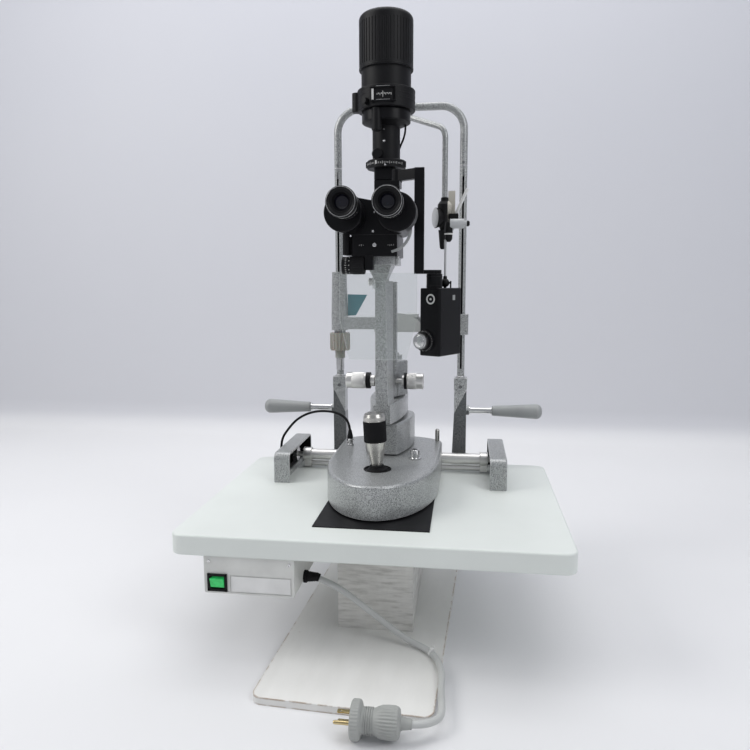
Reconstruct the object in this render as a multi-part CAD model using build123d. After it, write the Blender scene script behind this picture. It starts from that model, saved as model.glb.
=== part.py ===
from build123d import *
import math
import os

# Slit lamp with applanation tonometer on a small instrument tabletop.
# Millimetres. +X to the operator's right, +Y from the operator to the patient, +Z up.
# The origin is on the floor, under the middle of the tabletop.

# ---------------------------------------------------------------- driving dimensions
TABLE_TOP = 185.0          # height of the tabletop's working face
TABLE_W, TABLE_D, TABLE_H = 550.0, 417.0, 29.0
TABLE_CORNER_R = 18.0
UNDER = TABLE_TOP - TABLE_H

BOARD_W, BOARD_D, BOARD_H = 232.0, 500.0, 10.0
BOARD_X, BOARD_Y, BOARD_TURN = -7.0, -47.0, -3.0
BLOCK_X = (-57.5, 55.5)
BLOCK_Y = (-108.0, 120.0)
COLUMN_HOLE_X, COLUMN_HOLE_Y, COLUMN_HOLE_R = 70.0, 50.0, 3.3

PSU_X, PSU_Y, PSU_Z = (-226.0, -98.0), (-205.0, -5.0), (100.0, UNDER)
PSU_WALL = 2.5
SWITCH_X, SWITCH_Z = -207.0, 118.0
GLAND_Y, GLAND_Z = -150.0, 108.0

INSTR_X = -6.0             # centre plane of base, arms, microscope and lamp tower
RAIL_X = (170.0, 198.0)    # inner and outer face of each rail cover
RAIL_Y = (42.0, 206.0)
RAIL_H = 52.0
AXLE_Y, AXLE_Z, AXLE_R = 150.0, TABLE_TOP + 24.0, 10.0
BAR_Z, BAR_R = TABLE_TOP + 7.2, 5.0
GEAR_MODULE, GEAR_TEETH = 1.5, 18
RUNNING = 0.05             # radial clearance of every running fit

BASE_X = INSTR_X + 2.5
BASE_HALF_W, BASE_NOSE, BASE_REAR = 90.5, -133.0, 199.0
BASE_SHOULDER = 30.0       # where the elliptical nose meets the straight sides
BASE_REAR_R = 137.0        # radius of the bowed rear edge
BASE_BOTTOM, BASE_TOP = TABLE_TOP + 4.0, TABLE_TOP + 54.0
BASE_WALL = 8.0
STICK_Y, STICK_Z, STICK_LEAN = -40.0, TABLE_TOP + 40.0, -3.0

SWIVEL_Y = 150.0           # swivel axis of both arms, below the patient's eye
LIFT_Y, LIFT_R = 96.0, 22.0   # round column of the lift, ahead of the axle
PEDESTAL_Z = (TABLE_TOP + 57.0, TABLE_TOP + 109.0)
POST_R = 14.0
MIC_HUB_Z = (TABLE_TOP + 113.5, TABLE_TOP + 146.0)
LAMP_HUB_Z = (TABLE_TOP + 148.0, TABLE_TOP + 213.0)
COLUMN_Y = (14.0, 40.0)
PLATFORM_Z = (TABLE_TOP + 368.0, TABLE_TOP + 380.0)
COLUMN_LEFT = -16.5        # left face of the microscope column
OPTIC_X, OPTIC_Z = INSTR_X - 3.0, TABLE_TOP + 439.7
SCREW_Y, SCREW_Z = 24.0, TABLE_TOP + 343.0        # clamp screw of the breath shield
DRUM_OFFSET, DRUM_R, DRUM_Y = 38.0, 27.5, (-95.0, -59.0)
EYE_DX, EYE_DZ, EYE_R = 7.0, 8.8, 20.5
CHANGER_Y, CHANGER_Z = -54.0, TABLE_TOP + 367.0   # shaft of the magnification knob

KNOB_Y, KNOB_Z, KNOB_R = 84.0, TABLE_TOP + 175.0, 14.0
TOWER_Y = 80.0
RISER_TOP = TABLE_TOP + 343.0
HEAD_BLOCK_Z = (TABLE_TOP + 507.0, TABLE_TOP + 524.5)
FLANGE_Z = (TABLE_TOP + 525.0, TABLE_TOP + 538.0)
TUBE_Z = (TABLE_TOP + 538.5, TABLE_TOP + 590.0)
LOWER_RING_Z = (TABLE_TOP + 597.0, TABLE_TOP + 614.0)
WIDE_RING_Z = (TABLE_TOP + 614.5, TABLE_TOP + 647.0)
NECK_Z = (TABLE_TOP + 647.5, TABLE_TOP + 677.5)
CAP_Z = (TABLE_TOP + 677.5, TABLE_TOP + 761.5)
TUBE_R, LOWER_RING_R, WIDE_RING_R, NECK_R, CAP_R = 22.5, 39.5, 46.6, 40.0, 43.4
STUD_TURN = -35.0          # where the filter stud sits round the drum

HEAD_X, HEAD_Y, UPRIGHT_SPACING = 2.4, 222.0, 231.8
UPRIGHT_R, UPRIGHT_BORE_R, SLOT_W = 7.0, 4.6, 3.6
UPRIGHT_Z = (TABLE_TOP + 134.0, TABLE_TOP + 552.0)
HOOP_Z, HOOP_BEND_R = TABLE_TOP + 664.0, 42.0
LEG_HALF_W = 11.5
CLAMP_Z = (TABLE_TOP + 132.0, TABLE_TOP + 163.0)
HANDLE_Z = TABLE_TOP + 100.0
CHIN_Z = (TABLE_TOP + 252.0, TABLE_TOP + 284.0)
CHIN_SLEEVE_TOP = TABLE_TOP + 362.0
CHIN_KNOB_Z = (TABLE_TOP + 213.0, TABLE_TOP + 247.0)

TONO_PIVOT = (16.0, 36.0)
TONO_BAR_Z = (TABLE_TOP + 497.0, TABLE_TOP + 517.0)
TONO_SWIVEL = (77.0, 20.0)
TONO_CENTRE, TONO_TURN = (87.0, 30.0), 59.0
TONO_HALF_L, TONO_HALF_W = 32.0, 19.0
TONO_Z = (TABLE_TOP + 227.0, TABLE_TOP + 333.0)
DIAL_SIDE, DIAL_Z, DIAL_R = 10.0, TABLE_TOP + 250.5, 17.0
FEELER = (93.0, 38.0)
LAMP_ARM_END = (87.0, 156.0)

CORD_D, CABLE_D = 9.0, 4.4
CORD_ROUTE = [
    (-76.0, -150.0, 105.5), (-52.0, -149.5, 96.5), (-22.0, -148.5, 74.5), (10.0, -146.5, 49.0),
    (38.0, -146.5, 27.5), (60.0, -150.0, 16.6), (80.0, -161.0, 15.0), (93.0, -179.0, 14.8),
    (100.5, -201.0, 14.8), (103.5, -228.0, 14.8), (103.0, -256.0, 14.8), (105.5, -282.0, 14.8),
    (105.5, -303.0, 15.6), (99.6, -317.0, 17.6), (88.6, -328.0, 20.2), (74.0, -334.0, 22.4),
    (60.0, -334.2, 22.4),
]
CABLE_FRONT_ROUTE = [
    (-75.0, 107.0, TABLE_TOP + 80.0), (-76.5, 107.8, TABLE_TOP + 91.0), (-83.0, 110.0, TABLE_TOP + 102.0),
    (-98.0, 114.0, TABLE_TOP + 110.5), (-120.0, 119.0, TABLE_TOP + 113.0),
    (-145.0, 124.5, TABLE_TOP + 110.0), (-168.0, 129.5, TABLE_TOP + 100.5),
    (-188.0, 134.0, TABLE_TOP + 85.0), (-202.0, 137.5, TABLE_TOP + 66.0),
]
CABLE_REAR_ROUTE = [
    (-202.0, 137.5, TABLE_TOP + 66.0), (-209.0, 139.25, TABLE_TOP + 56.5), (-212.2, 140.0, TABLE_TOP + 36.0),
    (-212.4, 140.0, TABLE_TOP + 8.0), (-212.4, 139.6, TABLE_TOP - 20.0), (-211.6, 133.0, TABLE_TOP - 44.0),
    (-208.5, 112.0, TABLE_TOP - 59.0), (-203.0, 80.0, TABLE_TOP - 62.0), (-197.0, 54.0, TABLE_TOP - 59.0),
    (-192.0, 30.0, TABLE_TOP - 55.0), (-190.0, 9.0, TABLE_TOP - 54.0),
]

os.makedirs("parts", exist_ok=True)


# ---------------------------------------------------------------- helpers
def block(x, y, z):
    """A box between two values on each axis."""
    size = (x[1] - x[0], y[1] - y[0], z[1] - z[0])
    centre = ((x[0] + x[1]) / 2, (y[0] + y[1]) / 2, (z[0] + z[1]) / 2)
    return Pos(*centre) * Box(*size)


def rod_x(x, y, z, r):
    return Pos((x[0] + x[1]) / 2, y, z) * Rot(0, 90, 0) * Cylinder(r, x[1] - x[0])


def rod_y(x, y, z, r):
    return Pos(x, (y[0] + y[1]) / 2, z) * Rot(90, 0, 0) * Cylinder(r, y[1] - y[0])


def rod_z(x, y, z, r):
    return Pos(x, y, (z[0] + z[1]) / 2) * Cylinder(r, z[1] - z[0])


def turned(x, y, profile):
    """A solid of revolution about a vertical axis, from a list of (radius, height)."""
    low, high = profile[0][1], profile[-1][1]
    points = [(0, low)] + profile + [(0, high)]
    face = make_face(Polyline(*[(r, z) for r, z in points], close=True))
    return Pos(x, y, 0) * revolve(Plane.XZ * face, Axis.Z)


def tube_along(route, diameter):
    """Straight runs joined by tangent arcs, each as large as its two runs allow."""
    points = [Vector(*p) for p in route]
    radii = []
    for before, here, after in zip(points, points[1:], points[2:]):
        turn = (here - before).get_angle(after - here)
        run = min((here - before).length, (after - here).length)
        radii.append(0.45 * run / math.tan(math.radians(turn) / 2))
    path = FilletPolyline(*route, radius=radii)
    start = Plane(origin=path @ 0, z_dir=path % 0)
    tube = sweep(start * Circle(diameter / 2), path=path)
    expected = math.pi * diameter ** 2 / 4 * path.length
    print("route length %.1f, least radius %.1f" % (path.length, min(radii)),
          "volume ratio %.4f" % (tube.volume / expected))
    print("  radii", [round(r) for r in radii])
    return tube


def save(name, shape):
    export_step(shape, "parts/%s.step" % name)


# ---------------------------------------------------------------- table and stand
def base_board():
    board = Box(BOARD_W, BOARD_D, BOARD_H)
    board = fillet(board.edges().filter_by(Axis.Z), 14)
    return Pos(BOARD_X, BOARD_Y, BOARD_H / 2) * Rot(0, 0, BOARD_TURN) * board


def support_block():
    return block(BLOCK_X, BLOCK_Y, (BOARD_H, UNDER))


def tabletop():
    top = Box(TABLE_W, TABLE_D, TABLE_H)
    top = fillet(top.edges().filter_by(Axis.Z), TABLE_CORNER_R)
    top = fillet(top.edges().group_by(Axis.Z)[-1], 3)
    top = fillet(top.edges().group_by(Axis.Z)[0], 2)
    top = Pos(0, 0, TABLE_TOP - TABLE_H / 2) * top
    for x in (-COLUMN_HOLE_X, COLUMN_HOLE_X):
        for y in (-COLUMN_HOLE_Y, COLUMN_HOLE_Y):
            top -= rod_z(x, y, (UNDER - 1, UNDER + 18), COLUMN_HOLE_R)
    return top - rod_z(-212.2, 138.5, (UNDER - 1, TABLE_TOP + 1), 6.5)


def psu_case():
    case = block(PSU_X, PSU_Y, PSU_Z)
    case = fillet(case.edges().group_by(Axis.Z)[0], 5)
    inner_x = (PSU_X[0] + PSU_WALL, PSU_X[1] - PSU_WALL)
    inner_y = (PSU_Y[0] + PSU_WALL, PSU_Y[1] - PSU_WALL)
    case -= block(inner_x, inner_y, (PSU_Z[0] + PSU_WALL, PSU_Z[1] + 1))
    case += block((SWITCH_X - 14, SWITCH_X + 14), (PSU_Y[0] - 1.5, PSU_Y[0]), (SWITCH_Z - 12, SWITCH_Z + 12))
    case += block((SWITCH_X - 13, SWITCH_X + 13), (PSU_Y[0], PSU_Y[0] + 14), (SWITCH_Z - 11, SWITCH_Z + 11))
    opening_y = (PSU_Y[0] - 2, PSU_Y[0] + 12.5)
    case -= block((SWITCH_X - 10, SWITCH_X + 10), opening_y, (SWITCH_Z - 9, SWITCH_Z + 9))
    case -= rod_x((SWITCH_X - 12.5, SWITCH_X + 12.5), PSU_Y[0] + 5, SWITCH_Z, 1.5)
    case -= block((-189, -102), (PSU_Y[0] - 1, PSU_Y[0] + 1.0), (SWITCH_Z - 14, SWITCH_Z + 11))
    case -= rod_x((PSU_X[1] - 4, PSU_X[1] + 1), GLAND_Y, GLAND_Z, 6)
    return case - rod_y(-190, (PSU_Y[1] - 4, PSU_Y[1] + 1), TABLE_TOP - 54, 3.2)


def power_rocker():
    """Rocks on a cross pin; its lower half is pressed in at rest."""
    profile = Polyline((-1.5, -6.8), (-3.0, 0), (-5.0, 6.8), (7, 5.0), (7, -5.0), close=True)
    rocker = extrude(Plane.YZ * make_face(profile), 19.4)
    rocker = Pos(SWITCH_X - 9.7, PSU_Y[0], SWITCH_Z) * rocker
    return rocker + rod_x((SWITCH_X - 12.3, SWITCH_X + 12.3), PSU_Y[0] + 5, SWITCH_Z, 1.45)


def psu_transformer():
    floor = PSU_Z[0] + PSU_WALL
    core = block((-205, -145), (-130, -50), (floor, floor + 42))
    windings = block((-198, -152), (-142, -38), (floor + 6, floor + 36))
    return core + windings


def mains_gland():
    face = PSU_X[1]
    gland = rod_x((face - PSU_WALL, face), GLAND_Y, GLAND_Z, 6)
    gland += rod_x((face, face + 4), GLAND_Y, GLAND_Z, 9)
    boot = Pos(face + 12.5, GLAND_Y, GLAND_Z) * Rot(0, 90, 0) * Cone(7.5, 5.6, 17)
    aim = Vector(*CORD_ROUTE[1]) - Vector(*CORD_ROUTE[0])
    gland += boot
    gland += Pos(face + 21.2, GLAND_Y, GLAND_Z - 0.8) * Sphere(5.7)
    return gland - Plane(origin=CORD_ROUTE[0], z_dir=aim) * Pos(0, 0, 15) * Cylinder(14, 30)


def mains_plug():
    """Three-pin mains plug with a round front flange, ribbed waist and cord collar."""
    x, y, z = CORD_ROUTE[-1]
    plug = rod_x((x - 6, x), y, z, 6.5)
    plug += rod_x((x - 30, x - 6), y, z, 18)
    plug += rod_x((x - 46, x - 30), y, z, 14)
    plug += rod_x((x - 58, x - 46), y, z, 22.4)
    front = x - 58
    for dz in (-6.4, 6.4):
        plug += block((front - 17.5, front), (y + 1, y + 7.4), (z + dz - 0.8, z + dz + 0.8))
    return plug + rod_x((front - 20.5, front), y - 7.5, z, 2.4)


def glide_plate():
    return block((-84, 82), (-157, 120), (TABLE_TOP, TABLE_TOP + 1.5))


# ---------------------------------------------------------------- rails and cross carriage
def rail_cover(side):
    """An arched channel over one gear rack, open towards the middle of the table."""
    wall = 4.0
    cover = block(RAIL_X, RAIL_Y, (TABLE_TOP, TABLE_TOP + RAIL_H))
    cover = fillet(cover.edges().filter_by(Axis.X).group_by(Axis.Z)[-1], 13)
    outer_face = cover.faces().sort_by(Axis.X)[-1]
    cover = fillet(outer_face.edges().filter_by(lambda e: e.center().Z > TABLE_TOP + 1), 3)
    hollow = block((RAIL_X[0] - 1, RAIL_X[1] - wall), (RAIL_Y[0] + wall, RAIL_Y[1] - wall),
                   (TABLE_TOP - 1, TABLE_TOP + RAIL_H - wall))
    hollow = fillet(hollow.edges().filter_by(Axis.X).group_by(Axis.Z)[-1], 9)
    cover -= hollow
    return cover if side > 0 else mirror(cover, Plane.YZ)


def gear_rack(side):
    pitch = math.pi * GEAR_MODULE
    pitch_z = AXLE_Z - GEAR_MODULE * GEAR_TEETH / 2
    tip, root = pitch_z + 1.1, pitch_z - 1.9
    low, high = AXLE_Y - 78.0, AXLE_Y + 48.0
    count = int((high - low) / pitch)
    first = AXLE_Y - pitch * (round((AXLE_Y - low) / pitch) - 0.5)
    points = [(low, TABLE_TOP), (low, root)]
    for i in range(count):
        y = first + i * pitch
        if y + 1.8 > high:
            break
        points += [(y - 1.65, root), (y - 0.55, tip), (y + 0.55, tip), (y + 1.65, root)]
    points += [(high, root), (high, TABLE_TOP)]
    face = make_face(Polyline(*points, close=True))
    x = 181.0 if side > 0 else -190.0
    return Pos(x, 0, 0) * extrude(Plane.YZ * face, 9)


def pinion(side):
    pitch_r = GEAR_MODULE * GEAR_TEETH / 2
    points = []
    for i in range(GEAR_TEETH):
        centre = -math.pi / 2 + i * 2 * math.pi / GEAR_TEETH
        for half, r in ((1.62, pitch_r - 1.7), (0.98, pitch_r), (0.42, pitch_r + 1.2)):
            a = centre - half / r
            points.append((r * math.cos(a), r * math.sin(a)))
        for half, r in ((0.42, pitch_r + 1.2), (0.98, pitch_r), (1.62, pitch_r - 1.7)):
            a = centre + half / r
            points.append((r * math.cos(a), r * math.sin(a)))
    face = make_face(Polyline(*points, close=True))
    x = 181.5 if side > 0 else -189.5
    wheel = Pos(x, AXLE_Y, AXLE_Z) * extrude(Plane.YZ * face, 8)
    return wheel - rod_x((-200, 200), AXLE_Y, AXLE_Z, 5)


def axle():
    shaft = rod_x((-168.5, 168.5), AXLE_Y, AXLE_Z, AXLE_R)
    return shaft + rod_x((-191, 191), AXLE_Y, AXLE_Z, 5)


def carriage_frame():
    """Guide bar with a bearing sleeve for the axle at each end."""
    frame = rod_x((-168.0, 168.0), AXLE_Y, BAR_Z, BAR_R)
    for x in ((-168.0, -155.5), (155.5, 168.0)):
        frame += rod_x(x, AXLE_Y, AXLE_Z, 12.5)
        frame += block(x, (AXLE_Y - 8, AXLE_Y + 8), (TABLE_TOP + 2.2, AXLE_Z - 5))
    return frame - rod_x((-170, 170), AXLE_Y, AXLE_Z, AXLE_R + RUNNING)


# ---------------------------------------------------------------- cross-slide base
def base_outline(inset):
    """Plan of the base: half an ellipse towards the operator, straight sides, bowed rear edge."""
    half = BASE_HALF_W - inset
    nose = BASE_SHOULDER - BASE_NOSE - inset
    rear = BASE_REAR - inset
    front = Pos(BASE_X, BASE_SHOULDER) * Ellipse(half, nose)
    front &= Pos(BASE_X, BASE_SHOULDER - 250) * Rectangle(600, 500)
    back = Pos(BASE_X, (BASE_SHOULDER + rear) / 2) * Rectangle(2 * half, rear - BASE_SHOULDER)
    back &= Pos(BASE_X, BASE_REAR - BASE_REAR_R) * Circle(BASE_REAR_R - inset)
    corners = [v for v in back.vertices() if v.Y > BASE_SHOULDER + 60]
    return front + fillet(corners, 26 - inset)


def base_casting():
    body = extrude(Pos(0, 0, BASE_BOTTOM) * base_outline(0), BASE_TOP - BASE_BOTTOM)
    body = fillet(body.edges().group_by(Axis.Z)[-1], 5)
    hollow = extrude(Pos(0, 0, BASE_BOTTOM - 1) * base_outline(BASE_WALL), BASE_TOP - BASE_BOTTOM - 7)
    body -= hollow
    # guide sleeve for the lift column
    body += rod_z(INSTR_X, LIFT_Y, (BASE_BOTTOM + 2, BASE_TOP - 6), LIFT_R + 6)
    body -= rod_z(INSTR_X, LIFT_Y, (BASE_BOTTOM - 1, BASE_TOP + 1), LIFT_R + RUNNING)
    # cup that carries the joystick gimbal
    cup = rod_z(INSTR_X, STICK_Y, (STICK_Z - 6, BASE_TOP - 7.5), 24) - rod_z(
        INSTR_X, STICK_Y, (STICK_Z - 7, BASE_TOP), 20)
    body += cup
    body -= rod_z(INSTR_X, STICK_Y, (BASE_TOP - 9, BASE_TOP + 1), 20)
    body -= rod_x((INSTR_X - 22.5, INSTR_X + 22.5), STICK_Y, STICK_Z, 2 + RUNNING)
    # bearings for the axle and the bar below it, seats for the plugs and the lock screw
    body -= rod_x((-110, 110), AXLE_Y, AXLE_Z, AXLE_R + RUNNING)
    body -= rod_x((-110, 110), AXLE_Y, BAR_Z, BAR_R + RUNNING)
    return body - rod_z(78, 156, (BASE_TOP - 12, BASE_TOP + 1), 3 + RUNNING)


def base_sockets():
    """Lamp connector at the left and accessory socket at the right."""
    lamp = turned(-75, 107, [(5.4, BASE_TOP), (5.4, BASE_TOP + 3), (4.6, BASE_TOP + 3.1), (4.6, BASE_TOP + 9),
                             (4.9, BASE_TOP + 9.1), (4.0, BASE_TOP + 20), (2.6, TABLE_TOP + 80)])
    accessory = turned(47, 28, [(10, BASE_TOP), (10, BASE_TOP + 2), (7, BASE_TOP + 3), (7, BASE_TOP + 15),
                                (6, BASE_TOP + 16)])
    return lamp, accessory


def lock_screw():
    return turned(78, 156, [(3, BASE_TOP - 8), (3, BASE_TOP + 1), (4, BASE_TOP + 1.1), (4, BASE_TOP + 20),
                            (2.6, BASE_TOP + 22.5)])


# ---------------------------------------------------------------- joystick
def joystick_gimbal():
    ring = rod_z(INSTR_X, STICK_Y, (STICK_Z - 4, STICK_Z + 4), 15) - rod_z(
        INSTR_X, STICK_Y, (STICK_Z - 5, STICK_Z + 5), 11)
    for side in (-1, 1):
        x = (INSTR_X - 22.2, INSTR_X - 14) if side < 0 else (INSTR_X + 14, INSTR_X + 22.2)
        ring += rod_x(x, STICK_Y, STICK_Z, 2)
    return ring - rod_y(INSTR_X, (STICK_Y - 16, STICK_Y + 16), STICK_Z, 2 + RUNNING)


def leaned(shape):
    """The stick leans a little to the operator's left about its gimbal."""
    return Pos(INSTR_X, STICK_Y, STICK_Z) * Rot(0, STICK_LEAN, 0) * shape


def joystick_stick():
    """Shaft with its ball foot, the cross pin and the boot."""
    stick = turned(0, 0, [(3, -34), (3, -8), (5, -8), (5, 8), (4, 8), (4, 100)])
    stick += Pos(0, 0, -31) * Sphere(7)
    stick += rod_y(0, (-14.6, 14.6), 0, 2)
    boot = turned(0, 0, [(10, 9), (17, 12), (16.5, 14.5), (9, 17), (7.5, 20.5)])
    return leaned(stick + boot)


def joystick_grip():
    """Turning sleeve: steel cone, ribbed rubber band and steel cap."""
    grip = turned(0, 0, [(9.0, 21), (9.6, 24), (14.4, 46), (16.4, 58), (17.2, 58.5), (17.2, 91),
                         (16.6, 91.5), (16.6, 97.5), (14.5, 102.5)])
    grip -= rod_z(0, 0, (20, 100.1), 4 + RUNNING)
    return leaned(grip)


# ---------------------------------------------------------------- lift, post and pedestal
def lift_pedestal():
    """Boat-shaped block on the lift column, with the swivel post of both arms on top."""
    half = [(22, 40), (37, 85), (43, 130), (39, 158), (27, 172)]
    right = [(INSTR_X + x, y) for x, y in half]
    left = [(INSTR_X - x, y) for x, y in half]
    outline = [
        Line(left[0], right[0]), ThreePointArc(right[0], right[1], right[2]),
        ThreePointArc(right[2], right[3], right[4]), Line(right[4], left[4]),
        ThreePointArc(left[4], left[3], left[2]), ThreePointArc(left[2], left[1], left[0]),
    ]
    body = extrude(Pos(0, 0, PEDESTAL_Z[0]) * make_face(outline), PEDESTAL_Z[1] - PEDESTAL_Z[0])
    body = fillet(body.edges().group_by(Axis.Z)[-1], 4)
    body += rod_z(INSTR_X, LIFT_Y, (TABLE_TOP + 8, PEDESTAL_Z[0]), LIFT_R)
    body += rod_z(INSTR_X, SWIVEL_Y, (PEDESTAL_Z[1], LAMP_HUB_Z[1] + 4), POST_R)
    return body + rod_z(INSTR_X, SWIVEL_Y, (PEDESTAL_Z[1], MIC_HUB_Z[0] - 0.2), 24)


# ---------------------------------------------------------------- microscope arm and body
def column_section(front_right, rear_right, rear_y, z):
    """Section of the column: flat left face, front face COLUMN_Y[0], wider at the back."""
    points = [(COLUMN_LEFT, COLUMN_Y[0] + 0.1), (front_right, COLUMN_Y[0] + 0.1),
              (rear_right, rear_y), (COLUMN_LEFT, rear_y)]
    return Pos(0, 0, z) * make_face(Polyline(*points, close=True))


def microscope_arm():
    """Foot on the swivel post, tapered column and the platform, cast in one piece."""
    half, nose = 31.0, 14.0
    outline = [
        Line((INSTR_X - nose, 14), (INSTR_X + nose, 14)),
        ThreePointArc((INSTR_X + nose, 14), (INSTR_X + 25, 60), (INSTR_X + half, 110)),
        Line((INSTR_X + half, 110), (INSTR_X + half, SWIVEL_Y)),
        ThreePointArc((INSTR_X + half, SWIVEL_Y), (INSTR_X, SWIVEL_Y + half), (INSTR_X - half, SWIVEL_Y)),
        Line((INSTR_X - half, SWIVEL_Y), (INSTR_X - half, 110)),
        ThreePointArc((INSTR_X - half, 110), (INSTR_X - 25, 60), (INSTR_X - nose, 14)),
    ]
    arm = extrude(Pos(0, 0, MIC_HUB_Z[0]) * make_face(outline), MIC_HUB_Z[1] - MIC_HUB_Z[0])
    arm = fillet(arm.edges().group_by(Axis.Z)[-1], 3)
    low, waist, neck, high = MIC_HUB_Z[0] + 12, MIC_HUB_Z[0] + 48, PLATFORM_Z[0] - 24, PLATFORM_Z[0]
    arm += loft([column_section(7.0, 13.0, 52, low), column_section(3.5, 9.3, COLUMN_Y[1], waist)])
    arm += loft([column_section(3.5, 9.3, COLUMN_Y[1], waist), column_section(0.5, 9.3, COLUMN_Y[1], neck)])
    narrow = Pos(-7.5, 27, neck) * Rectangle(18, 26)
    wide = Pos(-7, 20, high) * Rectangle(38, 52)
    flare = loft([narrow, wide])
    arm += flare
    plate = block((INSTR_X - 31.5, INSTR_X + 29), (-40, 40), PLATFORM_Z)
    plate = fillet(plate.edges().filter_by(Axis.Z), 8)
    arm += plate
    arm -= rod_z(INSTR_X, SWIVEL_Y, (MIC_HUB_Z[0] - 1, MIC_HUB_Z[1] + 1), POST_R + RUNNING)
    return arm - rod_x((COLUMN_LEFT - 10, COLUMN_LEFT + 10), SCREW_Y, SCREW_Z, 2 + RUNNING)


def breath_shield():
    """Clear breath guard that tapers downwards, hung from a clip at the neck of the column."""
    top, knee, low = TABLE_TOP + 356, TABLE_TOP + 285, TABLE_TOP + 224
    points = [(-66, top), (53, top), (53, knee), (37, low), (-52, low), (-66, knee)]
    face = make_face(Polyline(*points, close=True))
    sheet = Pos(0, -23.5, 0) * extrude(Plane.XZ * face, 3)
    sheet = fillet(sheet.edges().filter_by(Axis.Y), 4)
    hook = block((INSTR_X - 9, INSTR_X + 6), (-23.5, -8.1), (top - 14, top - 6))
    stem = block((INSTR_X - 9, INSTR_X + 5), (-23.5, COLUMN_Y[0]), (top - 24, top - 14))
    return sheet + hook + stem


def shield_screw():
    face = COLUMN_LEFT - 3.5
    screw = rod_x((face, COLUMN_LEFT + 8), SCREW_Y, SCREW_Z, 2)
    return screw + rod_x((face - 7.5, face), SCREW_Y, SCREW_Z, 5.5)


def microscope_body():
    """Optics box on the platform, upper body behind the eyepieces and the objective ring."""
    base = TABLE_TOP + 380
    body = block((-42, 26), (-58, 43), (base, base + 31))
    body = fillet(body.edges().filter_by(Axis.Z), 5)
    upper = block((INSTR_X - 50, INSTR_X + 48), (-58.8, 20), (base + 31, base + 84))
    upper = fillet(upper.edges().filter_by(Axis.Y), 16)
    body += upper
    valley = Polyline((INSTR_X - 30, base + 85), (INSTR_X, base + 79), (INSTR_X + 30, base + 85), close=True)
    body -= Pos(0, 21, 0) * extrude(Plane.XZ * make_face(valley), 80)
    body += rod_y(INSTR_X, (43, 52), base + 20, 17)
    body -= rod_y(INSTR_X, (44, 53), base + 20, 14.5)
    body += rod_z(TONO_PIVOT[0], 12, (base + 84, TONO_BAR_Z[0] - 6), 7)
    body += block((TONO_PIVOT[0] - 7, TONO_PIVOT[0] + 7), (5, 43), (TONO_BAR_Z[0] - 9, TONO_BAR_Z[0] - 0.3))
    body += rod_z(TONO_PIVOT[0], TONO_PIVOT[1], (TONO_BAR_Z[0] - 9, TONO_BAR_Z[1] + 1), 3)
    for side in (-1, 1):
        x = OPTIC_X + side * DRUM_OFFSET
        body -= rod_y(x, (DRUM_Y[1] - 1, DRUM_Y[1] + 8), OPTIC_Z, 10 + RUNNING)
    # side rail of the changer, and the lug that carries its knob
    body += block((-54, -41), (-52, 20), (base + 2, base + 29))
    body += block((-21, -9), (CHANGER_Y - 7, CHANGER_Y + 7), (CHANGER_Z - 7, base + 1))
    return body - rod_x((-24, -11), CHANGER_Y, CHANGER_Z, 4 + RUNNING)


def magnification_knob():
    """Side knob that turns the magnification changer."""
    knob = rod_x((-23, -12), CHANGER_Y, CHANGER_Z, 4)
    grip = rod_x((-55, -22), CHANGER_Y, CHANGER_Z, 12.8)
    return knob + grip


def prism_housing(side):
    """Round prism box that turns on its sleeve to set the eye spacing."""
    x = OPTIC_X + side * DRUM_OFFSET
    eye_x, eye_z = x - side * EYE_DX, OPTIC_Z + EYE_DZ
    drum = rod_y(x, (DRUM_Y[0], DRUM_Y[1] - 0.3), OPTIC_Z, DRUM_R)
    drum = fillet(drum.edges(), 2)
    drum += rod_y(x, (DRUM_Y[1] - 1, DRUM_Y[1] + 7), OPTIC_Z, 10)
    drum += rod_y(eye_x, (DRUM_Y[0] - 22, DRUM_Y[0] + 2), eye_z, 15)
    return drum


def eyepiece(side):
    """Eyepiece with its dioptre ring and rolled rubber cup, on the housing's short tube."""
    eye_x = OPTIC_X + side * (DRUM_OFFSET - EYE_DX)
    eye_z = OPTIC_Z + EYE_DZ
    front = DRUM_Y[0]
    piece = rod_y(eye_x, (front - 16, front - 1), eye_z, 18.5)
    piece += rod_y(eye_x, (front - 38, front - 16), eye_z, 17)
    piece += rod_y(eye_x, (front - 50, front - 38), eye_z, EYE_R)
    piece -= rod_y(eye_x, (front - 22.5, front), eye_z, 15 + RUNNING)
    cup = Pos(eye_x, front - 50.01, eye_z) * Rot(90, 0, 0) * Cone(10, 15.5, 14)
    return piece - cup


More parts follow.
